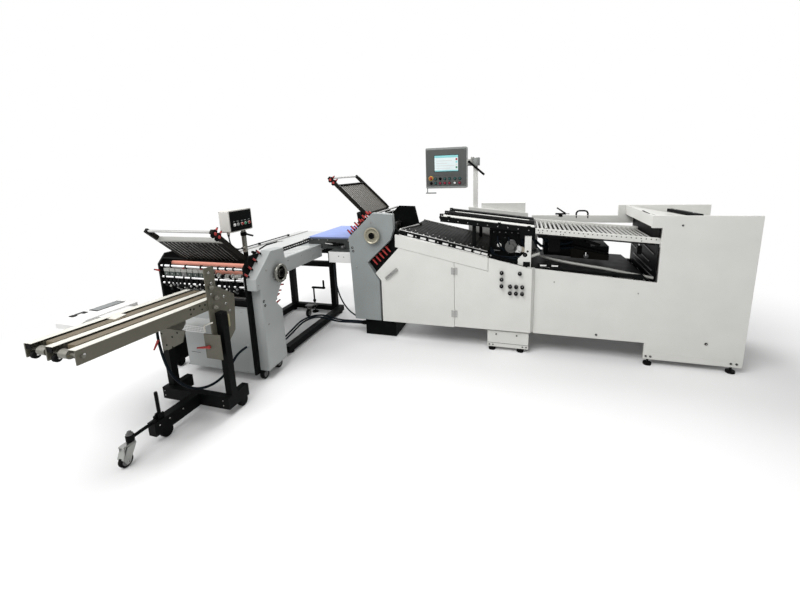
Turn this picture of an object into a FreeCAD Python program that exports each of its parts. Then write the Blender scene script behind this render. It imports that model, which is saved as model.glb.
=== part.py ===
import FreeCAD, Part
import math
import os
import re
import Sketcher

# Two-unit paper folding machine: a feeder and register line along +X, a first fold unit at its left end,
# a transfer table, a second fold unit turned through a right angle, and a delivery table that runs toward -Y.
# Millimetres. +X along the main line, +Y from its front to its rear, +Z up.
# The origin is the floor point under the middle plinth's right front pad.

doc = FreeCAD.newDocument("FoldingMachine")
sheet = doc.addObject("Spreadsheet::Sheet", "Sizes")

sizes = {
    # main line
    "lineDepth": 835,  # front face of the front panel to rear face of the rear panel
    "panelWall": 20,
    "lineRight": 1595,
    "feederLeft": 941,
    "feederTop": 1197,
    "feederBottom": 45,
    "panelBottom": 180,
    "openingLeft": 100,
    "openingRight": 990,
    "openingTop": 1104,
    "sillLeft": 752,  # height of the low panel's edge at openingLeft
    "sillRight": 680,  # and at openingRight
    "tabReach": 71,  # the feeder's upper tab stands this far left of the opening
    "rearStripTop": 1098,
    "rearStripHeight": 70,
    "feederSkew": 84,  # the rear side's upper part stands this far to the left
    "hoodDrop": 135,
    "hoodThick": 18,
    "hoodLip": 85,
    "endCoverBottom": 120,
    # inner frame and supports
    "beamHeight": 50,
    "beamWidth": 40,
    "frameLeft": -1250,
    "plinthLeft": -280,
    "plinthRight": 67,
    "plinthFront": -20,
    "plinthRear": 760,
    "plinthWall": 12,
    "padRadius": 30,
    "padHeight": 18,
    "padSpan": 240,
    "feederPadInset": 34,
    "spindleRadius": 9,
    # register section
    "registerProud": 40,
    "registerWall": 18,
    "registerRight": 76,
    "registerBottom": 195,
    "edgeRight": 757,  # height of the inclined edge at registerRight
    "edgeSlope": 0.2265,  # its fall per millimetre along the line
    "edgeLeft": -1105,
    "guideInset": 10,
    "guideWidth": 52,
    "guideDrop": 20,
    "stripHeight": 114,
    "stripSeam": -277,
    "panelSplit": -568,
    "doorGap": 3,
    "doorLeft": -1255,
    "doorBottom": 187,
    "doorCornerRise": 587,
    "doorSlantLeft": -1310,
    "doorSlantRise": 655,
    "doorSlantRight": -1078,
    "stripThick": 12,
    "hingeHeight": 70,
    "hingeRadius": 6,
    "hingeUpper": 711,
    "hingeLower": 316,
    "latchLength": 150,
    "latchWidth": 26,
    "latchDepth": 14,
    "latchAngle": 41,
    "latchX": -1152,
    "latchZ": 658,
    "knobRadius": 15,
    "knobLength": 26,
    "knobTop": 716,
    "knobPitch": 58,
    "knobLeft": -165,
    "knobRight": -19,
    "knobColumn": 49,
    "knobBlock": 70,
    # register table
    "tableRise": 8,
    "tableThick": 30,
    "tableFront": 28,
    "tableRight": 60,
    "railWidth": 23,
    "railHeight": 20,
    "cheekWall": 14,
    # stream table over the register
    "boardLeft": -705,
    "boardRight": 95,
    "boardTopRight": 1087,
    "boardSlope": 0.116,
    "boardThick": 46,
    "boardFront": 45,
    "boardRear": 650,
    "boardLeg": 30,
    "boardEnd": 120,
    "boardEndDrop": 45,
    "bedSlope": 0.0725,
    "bedTop": 1086,
    "bedHeight": 46,
    "bedRight": 1035,
    "bedWall": 18,
    "tieThick": 6,
    "rollerRadius": 11,
    "rollerCount": 24,
    "rollerEnd": 985,
    "rollerDrop": 24,
    # suction head
    "headLeft": -285,
    "headRight": 20,
    "headFront": 150,
    "headRear": 560,
    "discRadius": 52,
    "discThick": 16,
    "discX": -98,
    "discZ": 905,
    "shaftSeat": 60,
    "blowerLeft": 180,
    "blowerMiddle": 560,
    "blowerRight": 705,
    "blowerBottom": 800,
    "blowerStep": 90,
    "blowerFront": 330,
    "blowerRear": 620,
    # lower conveyor
    "conveyorLeft": 80,
    "conveyorKnee": 900,
    "conveyorRight": 1050,
    "conveyorTop": 757,
    "conveyorKneeTop": 725,
    "conveyorEndTop": 600,
    "conveyorThick": 24,
    "conveyorFront": 30,
    "conveyorLeg": 60,
    # rear cover and mast
    "cabinetLeft": -561,
    "cabinetRight": 41,
    "cabinetTopLeft": 1184,
    "cabinetTopRight": 1119,
    "cabinetThick": 45,
    "boxLeft": -431,
    "boxRight": 13,
    "boxTop": 1220,
    "boxBottom": 900,
    "boxDepth": 150,
    "mastSide": 44,
    "mastX": -496,
    "mastTop": 1610,
    "mastBottom": 700,
    # control panel
    "consoleLeft": -1030,
    "consoleRight": -588,
    "consoleDrop": 228,  # the panel box below the mast's top
    "consoleRise": 200,  # and above it
    "consoleDepth": 90,
    "consoleRound": 12,
    "screenDepth": 3,
    "armWidth": 70,
    "armThick": 30,
    "armRadius": 14,
    "collarRadius": 44,
    "collarHeight": 80,
    "stopRadius": 17,
    "stopStem": 9,
    "stopX": -975,
    "stopBelow": 120,  # its middle under the mast's top
    "stopTravel": 6,
    "stopNeck": 2,
    "stopRim": 10,
    "stopDome": 16,
    "stopCrown": 18,
    "stopLength": 30,
    "gripRadius": 7,
    "gripLength": 115,
    "gripDrop": 50,
    "leverLength": 205,
    "leverPivotX": -555,
    "leverRise": 40,
    "clampLeverAngle": 41,
    "clampLeverRadius": 11,
    "clampLeverReach": 40.5,  # handle's axis in front of the arm
    "hubLength": 51,
    "studLength": 20,
    # first fold unit
    "unitFront": -40,
    "coverThick": 55,
    "unitRear": 770,
    "unitTop": 1220,
    "coverLeft": -1569,
    "coverShoulder": 985,
    "coverFlank": 108,  # the left edge's upright run below the shoulder
    "coverHipInset": 5,
    "coverTopLeft": -1315,
    "coverTopRight": -1123,
    "coverTopDrop": 12,
    "coverRight": -1117,
    "coverNeck": 1073,
    "coverRecess": -1151,
    "coverRecessTop": 972,
    "coverWaist": -1383,
    "coverWaistTop": 755,
    "coverWaistRun": 9,
    "coverWaistDrop": 18,
    "coverKnee": 581,
    "coverFootRight": -1275,
    "coverFootLeft": -1544,
    "coverBottom": 185,
    "coverRound": 8,
    "wheelRadius": 76,
    "wheelWidth": 30,
    "hubRadius": 36,
    "wheelX": -1318,
    "wheelZ": 1015,
    "wheelGap": 12,
    "shaftRadius": 16,
    "foldRollerRadius": 32,
    "runningFit": 0.05,
    "bodyGap": 0.5,
    "sideWall": 18,
    "plateAngle": 44,
    "plateLength": 400,
    "plateRod": 110,
    "plateWidth": 650,
    "plateThick": 30,
    "plateFootX": -1440,
    "plateFootZ": 1180,
    "plateFront": 80,
    "plateBars": 15,
    "plateBar": 9,
    "plateBarThick": 8,
    "plateRail": 22,
    "seatLength": 60,
    "seatThick": 12,
    "seatEarLeft": -1472,
    "seatEarLow": 1062,
    "seatEarRight": -1398,
    "seatEarHigh": 1130,
    "plateInset": 12,  # the side plates stand this far inside the cover's outline
    "firstPlinthLeft": -1472,
    "firstPlinthRight": -1157,
    "leverCount": 5,
    "leverX": -1338,
    "leverZ": 778,
    "leverAngle": 43,
    "leverPitch": 46,
    "leverRadius": 8,
    "leverDepth": 30,
    "leverReach": 62,
    # transfer table
    "transferLeft": -2100,
    "transferTop": 950,
    "transferDrop": 110,
    "transferFront": 130,
    "transferRear": 900,
    "transferWall": 16,
    "beltThick": 5,
    "terminalLeft": -1812,
    "terminalHeight": 96,
    # second fold unit
    "secondRight": -1870,
    "secondCover": 85,
    "secondFront": -1005,
    "secondFar": -2790,
    "secondRear": -590,
    "secondTop": 1010,
    "sideFrontDrop": 85,
    "sideFrontRun": 72,
    "sideTopDrop": 10,
    "sideTopInset": 12,
    "sideRearDrop": 40,
    "kneeUpper": 150,
    "kneeStep": 80,
    "kneeInset": 110,
    "kneeReach": 185,
    "skirtInset": 50,
    "skirtFoot": 20,
    "lipInset": 5,
    "lipLow": 261,
    "lipHigh": 173,
    "crestRun": 209,
    "crestRise": 7,
    "crestInset": 38,
    "crestDrop": 2,
    "elbowInset": 6,
    "elbowRise": 191,
    "hipInset": 113,
    "hipRise": 120,
    "hollowInset": 198,
    "calfInset": 125,
    "calfDrop": 81,
    "heelInset": 121,
    "heelRise": 30,
    "secondWheelY": -735,
    "secondWheelZ": 822,
    "salmonY": -870,
    "salmonUpperZ": 900,
    "salmonPitch": 56,
    "salmonRadius": 27,
    "secondBottom": 60,
    "secondKnee": 598,
    "secondWheel": 38,
    "secondWheelFront": 75,
    "secondWheelRear": 160,
    "secondBeamFront": 45,
    "secondBeamRear": 170,
    "tieInset": 14,
    "tieTop": 100,
    "tieMiddle": 190,
    "tieLow": 240,
    "tieRadius": 10,
    "lowerCoverLeft": -2620,
    "lowerCoverFront": -1000,
    "secondCoverDepth": 130,
    "lowerCoverBottom": 70,
    "lowerCoverTop": 600,
    "secondPlateAngle": 42,
    "secondPlateY": -940,
    "secondPlateZ": 952,
    "secondPlateRight": -1976,
    "secondPlateWidth": 600,
    "secondPlateLength": 300,
    "boxSocketTop": 985,
    "boxPinLength": 80,
    "boxPinRadius": 7,
    "boxPostX": -2150,
    "boxPostY": -740,
    "boxPostSide": 26,
    "secondBoxLeft": -2190,
    "secondBoxRight": -2100,
    "secondBoxFront": -935,
    "secondBoxRear": -685,
    "secondBoxBottom": 1172,
    "secondBoxTop": 1338,
    # infeed table and its stand
    "infeedRight": -1950,
    "infeedLeft": -2660,
    "infeedRear": 860,
    "infeedGap": 10,
    "infeedTop": 885,
    "infeedDrop": 125,
    "infeedWall": 14,
    "tubeSide": 60,
    "standFront": -540,
    "standRear": 560,
    "standRight": -2000,
    "standLeft": -2600,
    "standLegRight": -2066,
    "crossHeight": 540,
    "stepIn": 4,
    "jackX": -2297,
    "jackY": 470,
    "jackPlate": 28,
    "jackPlateThick": 10,
    "jackFootThick": 12,
    "jackFootLift": 2,
    "jackGrip": 90,
    "jackRadius": 9,
    "jackTop": 298,
    "jackArm": 145,
    "jackFootRadius": 36,
    "castorWidth": 28,
    # delivery table
    "deliveryRight": -1899,
    "deliveryLeft": -2248,
    "deliveryMiddle": -2101,
    "deliveryNear": -2185,
    "deliveryFar": -1260,
    "deliveryTop": 830,
    "deliveryDrop": 70,
    "deliveryWall": 8,
    "deliveryMouth": 50,
    "deliveryShelf": 50,
    "deliveryTilt": 1.66,  # degrees, the near end is the higher one
    "deliveryPivot": -1424,
    "bracketWaist": 900,
    "bracketStep": 78,
    "apronTop": 600,
    "apronRight": -2121,
    "apronStepRun": 36,
    "apronStepDrop": 86,
    "apronTaper": 170,
    "apronFoot": 14,
    "bridgeLeft": -2410,
    "belt": 56,
    "beltRollerRadius": 22,
    "rollerY": -2160,
    "rollerZ": 795,
    "rollerShaft": 7,
    "rollerOverhang": 12,
    "bracketTop": 1035,
    "bracketBottom": 430,
    "clampPlateInner": 66,
    "clampPlateOuter": 60,
    "bracketFront": -1430,
    "bracketRear": -1204,
    "bracketTail": 25,
    "keypadLeft": -2630,
    "keypadRight": -2445,
    "keypadFront": -1842,
    "keypadRear": -1469,
    "keypadTop": 795,
    "keypadHeight": 50,
    "keypadSlope": 60,
    "keypadLip": 18,
    "keypadArmFront": 120,
    "keypadArmRear": 60,
    "deliveryLegRight": -1867,
    "deliveryLegY": -1365,
    "deliveryLegSide": 50,
    "deliveryLegLeft": -2368,
    "deliveryLegTop": 730,
    "deliveryLegLow": 600,
    "baseLeft": -2415,
    "stemWidth": 58,
    "baseBottom": 60,
    "baseHeight": 85,
    "baseFront": -1425,
    "baseRear": -1232,
    "baseWheel": 38,
    "castorInset": 45,
    "stemX": -2116,
    "stemEnd": -1762,
    "outriggerX": -2116,
    "outriggerY": -1891,
    "outriggerRadius": 10,
    "socketBottom": 129,
    "socketHeight": 40,
    "forkTop": 128,
    "forkFront": 14,
    "forkRear": 16,
    "forkTaper": 10,
    "forkHeel": 10,
    "forkPinOver": 6,
    "forkWall": 5,
    "wheelSide": 1,
    "axleRadius": 6,
    "frontWheelRadius": 38,
    "frontWheelWidth": 24,
    "swivelOffset": 45,
    "pedalLength": 166,
    "pedalRadius": 9,
    "earWall": 6,
    "earSpan": 31,
    "pedalY": -1700,
    "pedalZ": 163,
    # glands, where the cords end
    "glandLength": 18,
    "glandRadius": 11,
    "hoseY": 60,
    "hosePitch": 42,
    "hoseRadius": 9,
    "transferCableRadius": 7,
    "deliveryCableRadius": 9,
    "boxCableRadius": 5,
    "hoseZ": 100,
    "hoseEndX": -2140,
    "hoseEndZ": 110,
    "cableX": -1800,
    "cableY": 82,
    "cableZ": 146,
    "deliveryCableLeft": -2386,
    "deliveryCableY": -1412,
    "deliveryCableX": -2010,
    "deliveryCableZ": 300,
    "boxCableY": -903,
    "boxCableLow": 1022,
}

for row, (name, number) in enumerate(sizes.items(), start=1):
    sheet.set(f"A{row}", name)
    sheet.set(f"B{row}", str(number))
    sheet.setAlias(f"B{row}", name)
doc.recompute()

functions = {"sin", "cos", "tan", "sqrt", "min", "max"}
turns = {
    "X": FreeCAD.Rotation(FreeCAD.Vector(0, 1, 0), 90),
    "Y": FreeCAD.Rotation(FreeCAD.Vector(1, 0, 0), -90),
    "-Y": FreeCAD.Rotation(FreeCAD.Vector(1, 0, 0), 90),
    "Z": FreeCAD.Rotation(),
}
nodes = []


def bound(formula):
    """Names in a formula are cells of the sheet."""
    return re.sub(r"[A-Za-z_]\w*", lambda word: cell(word.group(0)), str(formula))


def cell(word):
    return word if word in functions else "Sizes." + word


def bind(item, formulas):
    for path, formula in formulas.items():
        item.setExpression(path, bound(formula))
    return item


def place(item, x="0", y="0", z="0"):
    return bind(item, {"Placement.Base.x": x, "Placement.Base.y": y, "Placement.Base.z": z})


def drawLoop(sketch, corners):
    """A closed polygon whose corners are bound to the sheet, from a small regular one."""
    count = len(corners)
    first = sketch.GeometryCount
    start = [FreeCAD.Vector(math.cos(turn), math.sin(turn), 0)
             for turn in (2 * math.pi * step / count for step in range(count))]
    for index in range(count):
        sketch.addGeometry(Part.LineSegment(start[index], start[(index + 1) % count]))
    joins = [Sketcher.Constraint("Coincident", first + index, 2, first + (index + 1) % count, 1)
             for index in range(count)]
    sketch.addConstraint(joins)
    for index, (across, up) in enumerate(corners):
        for direction, formula in (("DistanceX", across), ("DistanceY", up)):
            value = start[index].x if direction == "DistanceX" else start[index].y
            number = sketch.addConstraint(Sketcher.Constraint(direction, first + index, 1, value))
            sketch.setExpression(f"Constraints[{number}]", bound(formula))


def drawCircle(sketch, across, up, radius):
    geometry = sketch.addGeometry(Part.Circle(FreeCAD.Vector(1, 1, 0), FreeCAD.Vector(0, 0, 1), 1))
    for direction, formula in (("DistanceX", across), ("DistanceY", up)):
        number = sketch.addConstraint(Sketcher.Constraint(direction, geometry, 3, 1))
        sketch.setExpression(f"Constraints[{number}]", bound(formula))
    number = sketch.addConstraint(Sketcher.Constraint("Radius", geometry, 1))
    sketch.setExpression(f"Constraints[{number}]", bound(radius))


def sketchOn(body, label, plane, height, loops, circles=()):
    sketch = body.newObject("Sketcher::SketchObject", label)
    origin = next(item for item in body.Origin.OriginFeatures if item.Role == plane + "_Plane")
    sketch.AttachmentSupport = [(origin, "")]
    sketch.MapMode = "FlatFace"
    bind(sketch, {"AttachmentOffset.Base.z": height})
    for corners in loops:
        drawLoop(sketch, corners)
    for circle in circles:
        drawCircle(sketch, *circle)
    return sketch


def prism(label, plane, low, high, loops, circles=()):
    """A profile in XZ, YZ or XY, padded from low to high along the third axis."""
    body = doc.addObject("PartDesign::Body", label)
    height = f"-({high})" if plane == "XZ" else low  # the XZ plane looks toward -Y
    sketch = sketchOn(body, label + "Outline", plane, height, loops, circles)
    pad = body.newObject("PartDesign::Pad", label + "Pad")
    pad.Profile = sketch
    bind(pad, {"Length": f"({high}) - ({low})"})
    body.Tip = pad
    return body


def rounded(body, radius, chosen):
    """Fillets the edges of the body's tip that the test picks."""
    doc.recompute()
    tip = body.Tip
    names = [f"Edge{index}" for index, edge in enumerate(tip.Shape.Edges, start=1) if chosen(edge)]
    fillet = body.newObject("PartDesign::Fillet", body.Label + "Fillet")
    fillet.Base = (tip, names)
    bind(fillet, {"Radius": radius})
    body.Tip = fillet
    return body


def along(direction):
    """Picks straight edges that run along an axis."""
    def test(edge):
        ends = edge.Vertexes
        if len(ends) != 2 or edge.Curve.TypeId != "Part::GeomLine":
            return False
        run = ends[1].Point - ends[0].Point
        return abs(abs(run.normalize().dot(direction)) - 1) < 1e-6
    return test


def straightOn(axis, height):
    """Picks straight edges that lie in the plane at that height on the axis."""
    def test(edge):
        box = edge.BoundBox
        flat = getattr(box, axis + "Length") < 1e-6 and abs(getattr(box, axis + "Min") - height) < 1e-6
        return flat and edge.Curve.TypeId == "Part::GeomLine"
    return test


def turned(label, axis, centre, profile):
    """A profile of radius and height, turned about an axis through the centre."""
    body = doc.addObject("PartDesign::Body", label)
    sketch = sketchOn(body, label + "Profile", "XZ", "0", [profile])
    turning = body.newObject("PartDesign::Revolution", label + "Turning")
    turning.Profile = sketch
    turning.ReferenceAxis = (sketch, ["V_Axis"])
    turning.Angle = 360
    body.Tip = turning
    body.Placement = FreeCAD.Placement(FreeCAD.Vector(), turns[axis])
    return place(body, *centre)


def block(label, x, y, z):
    box = doc.addObject("Part::Box", label)
    bind(box, {"Length": f"({x[1]}) - ({x[0]})", "Width": f"({y[1]}) - ({y[0]})",
               "Height": f"({z[1]}) - ({z[0]})"})
    return place(box, x[0], y[0], z[0])


def rod(label, axis, start, length, radius):
    cylinder = doc.addObject("Part::Cylinder", label)
    cylinder.Placement = FreeCAD.Placement(FreeCAD.Vector(), turns[axis])
    bind(cylinder, {"Radius": radius, "Height": length})
    return place(cylinder, *start)


def gathered(label, pieces):
    compound = doc.addObject("Part::Compound", label)
    compound.Links = list(pieces)
    return compound


def fused(label, pieces):
    fusion = doc.addObject("Part::MultiFuse", label)
    fusion.Shapes = list(pieces)
    fusion.Refine = True
    return fusion


def cut(label, base, tools):
    removal = doc.addObject("Part::Cut", label)
    removal.Base = base
    removal.Tool = tools[0] if len(tools) == 1 else fused(label + "Tools", tools)
    return removal


# Heights of the inclined surfaces at a distance along the line.

def edgeAt(x):
    """Inclined edge of the register section."""
    return f"(edgeRight + edgeSlope * (registerRight - ({x})))"


def sillAt(x):
    """Inclined edge of the low front panel."""
    return f"(sillLeft + (sillRight - sillLeft) * (({x}) - openingLeft) / (openingRight - openingLeft))"


def boardAt(x):
    return f"(boardTopRight + boardSlope * (boardRight - ({x})))"


def bedAt(x):
    return f"(bedTop + bedSlope * (boardRight - ({x})))"


# Main line: side panels, feeder and inner frame

def frontPanel():
    outline = [("openingLeft", "panelBottom"), ("feederLeft", "panelBottom"), ("feederLeft", "feederBottom"),
               ("lineRight", "feederBottom"), ("lineRight", "feederTop"),
               ("openingRight - tabReach", "feederTop"), ("openingRight - tabReach", "openingTop"),
               ("openingRight", "openingTop"), ("openingRight", "sillRight"), ("openingLeft", "sillLeft")]
    return prism("front_panel", "XZ", "0", "panelWall", [outline])


def rearPanel():
    outline = [("registerRight + bodyGap", "panelBottom"), ("feederLeft", "panelBottom"),
               ("feederLeft", "feederBottom"), ("lineRight", "feederBottom"), ("lineRight", "feederTop"),
               ("feederLeft - feederSkew", "feederTop"), ("feederLeft - feederSkew", "rearStripTop"),
               ("registerRight + bodyGap", "rearStripTop")]
    window = [("openingLeft + beamWidth", sillAt("openingLeft + beamWidth")),
              ("openingRight", "sillRight"), ("openingRight", "rearStripTop - rearStripHeight"),
              ("openingLeft + beamWidth", "rearStripTop - rearStripHeight")]
    return prism("rear_panel", "XZ", "lineDepth - panelWall", "lineDepth", [outline, window])


def feederHood():
    """Sloping top with its lip over the sheet outlet, and the end cover it meets."""
    left = "openingRight - tabReach"
    inner = ("panelWall", "lineDepth - panelWall")
    outline = [(left, "feederTop - hoodLip"), (left, "feederTop"), ("lineRight", "feederTop - hoodDrop"),
               ("lineRight", "feederTop - hoodDrop - hoodThick"),
               (f"{left} + hoodThick", "feederTop - hoodThick"),
               (f"{left} + hoodThick", "feederTop - hoodLip")]
    top = prism("HoodTop", "XZ", *inner, [outline])
    cover = block("FeederEndCover", ("lineRight - panelWall", "lineRight"), inner,
                  ("endCoverBottom", "feederTop - hoodDrop - hoodThick / 2"))
    return fused("feeder_hood", [top, cover])


def lineFrame():
    floor = ("panelBottom", "panelBottom + beamHeight")
    inner = ("panelWall + beamWidth", "lineDepth - panelWall - beamWidth")
    beams = [
        block("FrontBeam", ("frameLeft", "lineRight - 2 * beamWidth"), ("panelWall", "panelWall + beamWidth"),
              floor),
        block("RearBeam", ("frameLeft", "lineRight - 2 * beamWidth"),
              ("lineDepth - panelWall - beamWidth", "lineDepth - panelWall"), floor),
    ]
    for index, left in enumerate(("frameLeft", "panelSplit", "plinthLeft", "plinthRight - beamWidth",
                                  "feederLeft", "lineRight - 3 * beamWidth")):
        beams.append(block(f"CrossBeam{index}", (left, f"{left} + beamWidth"), inner, floor))
    return fused("line_frame", beams)


def mainPlinth():
    shell = block("PlinthShell", ("plinthLeft", "plinthRight"), ("plinthFront", "plinthRear"),
                  ("padHeight + plinthWall", "panelBottom"))
    hollow = block("PlinthHollow", ("plinthLeft + plinthWall", "plinthRight - plinthWall"),
                   ("plinthFront + plinthWall", "plinthRear - plinthWall"),
                   ("padHeight + 2 * plinthWall", "panelBottom"))
    return cut("main_plinth", shell, [hollow])


def floorPads():
    """Round pads: under the plinth they sit in its bottom plate's place, under the feeder on spindles."""
    pads = []
    for row, y in enumerate(("0", "plinthRear + plinthFront")):
        for column, x in enumerate(("0", "-padSpan")):
            pads.append(fused(f"PlinthPad{row}{column}", [
                rod(f"PlinthPadDisc{row}{column}", "Z", (x, y, "0"), "padHeight", "padRadius"),
                rod(f"PlinthPadStem{row}{column}", "Z", (x, y, "padHeight"), "plinthWall", "spindleRadius")]))
    for row, y in enumerate(("panelWall / 2", "lineDepth - panelWall / 2")):
        for column, x in enumerate(("feederLeft + feederPadInset", "lineRight - 2 * feederPadInset")):
            pads.append(fused(f"FeederPad{row}{column}", [
                rod(f"FeederPadDisc{row}{column}", "Z", (x, y, "0"), "padHeight", "padRadius"),
                rod(f"FeederPadStem{row}{column}", "Z", (x, y, "padHeight"), "feederBottom - padHeight",
                    "spindleRadius")]))
    return gathered("floor_pads", pads)


# Register section

def registerPanel():
    front = "-registerProud"
    back = "registerWall - registerProud"
    outline = [("panelSplit", "registerBottom"), ("registerRight", "registerBottom"),
               ("registerRight", "edgeRight"), ("stripSeam", edgeAt("stripSeam")),
               ("stripSeam", edgeAt("stripSeam") + " - stripHeight - doorGap"),
               ("panelSplit", edgeAt("panelSplit") + " - stripHeight - doorGap")]
    sheetPart = prism("RegisterSheet", "XZ", front, back, [outline])
    flange = prism("RegisterReturn", "XY", "registerBottom", "edgeRight", [[
        ("registerRight - registerWall", back), ("registerRight", front), ("openingLeft - bodyGap", "0"),
        ("openingLeft - bodyGap", "panelWall"), ("registerRight - registerWall", "panelWall")]])
    foot = block("RegisterFoot", ("panelSplit", "registerRight - registerWall"), (back, "panelWall"),
                 ("registerBottom", "registerBottom + registerWall"))
    halves = hingeHalves("Panel", 1, "-hingeHeight / 2", "-bodyGap")
    return fused("register_panel", [sheetPart, flange, foot, guidePost()] + halves)


def guidePost():
    """Bent bracket from the register panel's return up to the stream board."""
    right = "registerRight - guideInset"
    top = "boardTopRight - boardThick - guideDrop"
    outline = [(f"{right} - 2 * guideWidth", "edgeRight + guideWidth / 2"),
               (f"{right} - 2 * guideWidth", "edgeRight + 1.4 * guideWidth"),
               (f"{right} - guideWidth", "edgeRight + 2.4 * guideWidth"), (f"{right} - guideWidth", top),
               (right, top), (right, "edgeRight + guideWidth"), (f"{right} - guideWidth",
                                                                 "edgeRight + guideWidth / 4")]
    arm = prism("GuideArm", "XZ", "0", "panelWall", [outline])
    foot = block("GuideFoot", (f"{right} - guideWidth / 2", right), ("0", "panelWall"),
                 ("edgeRight - registerWall", "edgeRight + 1.4 * guideWidth"))
    lug = block("GuideLug", (f"{right} - guideWidth", right), ("panelWall", "boardFront"),
                (f"{top} - guideDrop", top))
    return fused("GuidePost", [arm, foot, lug])


def registerStrip():
    front = "-registerProud"
    back = "registerWall - registerProud"
    right = "stripSeam - doorGap"
    outline = [("edgeLeft", edgeAt("edgeLeft")), (right, edgeAt(right)),
               (right, edgeAt(right) + " - stripHeight"),
               ("edgeLeft - doorGap", edgeAt("edgeLeft") + " - stripHeight")]
    face = prism("StripFace", "XZ", front, back, [outline])
    left = "doorSlantRight + sideWall"
    ledge = prism("StripLedge", "XZ", back, "tableFront", [[
        (left, edgeAt(left)), (right, edgeAt(right)), (right, edgeAt(right) + " - stripThick"),
        (left, edgeAt(left) + " - stripThick")]])
    return fused("register_strip", [face, ledge])


def hingeHalves(label, side, low, high):
    """The knuckles and leaves of one side of the two butt hinges; side is -1 on the door."""
    pivot = "panelSplit - doorGap / 2"
    leafEnd = f"{pivot} + {side} * 5 * hingeRadius"
    span = (leafEnd, pivot) if side < 0 else (pivot, leafEnd)
    halves = []
    for index, height in enumerate(("hingeLower", "hingeUpper")):
        bottom = f"{height} + {low}"
        halves.append(rod(f"{label}Knuckle{index}", "Z", (pivot, hingeAxisY, bottom), f"{high} - ({low})",
                          "hingeRadius"))
        halves.append(block(f"{label}Leaf{index}", span,
                            ("-registerProud - hingeRadius / 2", "-registerProud"),
                            (bottom, f"{height} + {high}")))
    return halves


hingeAxisY = "-registerProud - hingeRadius - bodyGap"


def accessDoor():
    top = " - stripHeight - doorGap"
    right = "panelSplit - doorGap"
    outline = [("doorLeft", "doorBottom"), (right, "doorBottom"), (right, edgeAt(right) + top),
               ("doorSlantRight", edgeAt("doorSlantRight") + top), ("doorSlantLeft", "doorSlantRise"),
               ("doorLeft", "doorCornerRise")]
    panel = prism("DoorSheet", "XZ", "-registerProud", "registerWall - registerProud", [outline])
    return fused("access_door", [panel] + hingeHalves("Door", -1, "bodyGap", "hingeHeight / 2"))


def doorLatch():
    handle = doc.addObject("Part::Box", "door_latch")
    bind(handle, {"Length": "latchLength", "Width": "latchDepth", "Height": "latchWidth"})
    handle.Placement = FreeCAD.Placement(FreeCAD.Vector(), FreeCAD.Rotation(FreeCAD.Vector(0, -1, 0), 1))
    bind(handle, {"Placement.Rotation.Angle": "latchAngle"})
    half = "(latchLength / 2)"
    rise = "(latchWidth / 2)"
    return place(handle, f"latchX - {half} * cos(latchAngle) + {rise} * sin(latchAngle)",
                 "-registerProud - latchDepth - bodyGap / 2",
                 f"latchZ - {half} * sin(latchAngle) - {rise} * cos(latchAngle)")


def adjustingKnobs():
    """Two columns of three down the panel's left, then two rows of three, and one at the top right."""
    places = [("knobLeft", row) for row in (0, 1, 2)] + [("knobRight", 0)]
    places += [(f"knobLeft + knobBlock + {column} * knobColumn",
                row) for column in (0, 1, 2) for row in (2, 3)]
    knobs = []
    for index, (x, row) in enumerate(places):
        profile = [("0", "0"), ("knobRadius * 0.6", "0"), ("knobRadius * 0.6", "knobLength * 0.3"),
                   ("knobRadius", "knobLength * 0.35"), ("knobRadius", "knobLength * 0.9"),
                   ("knobRadius * 0.85", "knobLength"), ("0", "knobLength")]
        knobs.append(turned(f"Knob{index}", "-Y", (x, "-registerProud", f"knobTop - {row} * knobPitch"),
                            profile))
    return gathered("adjusting_knobs", knobs)


def registerTable():
    """Inclined table plate on front posts and a rear cheek that stand on the inner frame's beams."""
    under = " + tableRise - tableThick"
    left = "doorSlantRight + sideWall"

    def slab(label, low, high, start, end, bottom, top):
        return prism(label, "XZ", low, high, [[
            (start, edgeAt(start) + bottom), (end, edgeAt(end) + bottom), (end, edgeAt(end) + top),
            (start, edgeAt(start) + top)]])
    pieces = [slab("TablePlate", "tableFront", "lineDepth - panelWall", left, "tableRight", under,
                   " + tableRise"),
              slab("BallRail", "tableFront + railWidth", "tableFront + 2 * railWidth", left,
                   "headLeft - bodyGap", " + tableRise", " + tableRise + railHeight")]
    for index, (low, high, start, end) in enumerate((
            ("lineDepth - panelWall - cheekWall", "lineDepth - panelWall", left, "tableRight"),
            ("tableFront", "tableFront + cheekWall", left, f"{left} + conveyorLeg"),
            ("tableFront", "tableFront + cheekWall", "panelSplit + doorGap", "panelSplit + conveyorLeg"),
            ("tableFront", "tableFront + cheekWall", "tableRight - conveyorLeg", "tableRight"))):
        pieces.append(prism(f"TableCheek{index}", "XZ", low, high, [[
            (start, "panelBottom + beamHeight"), (end, "panelBottom + beamHeight"),
            (end, edgeAt(end) + under), (start, edgeAt(start) + under)]]))
    return fused("register_table", pieces)


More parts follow.
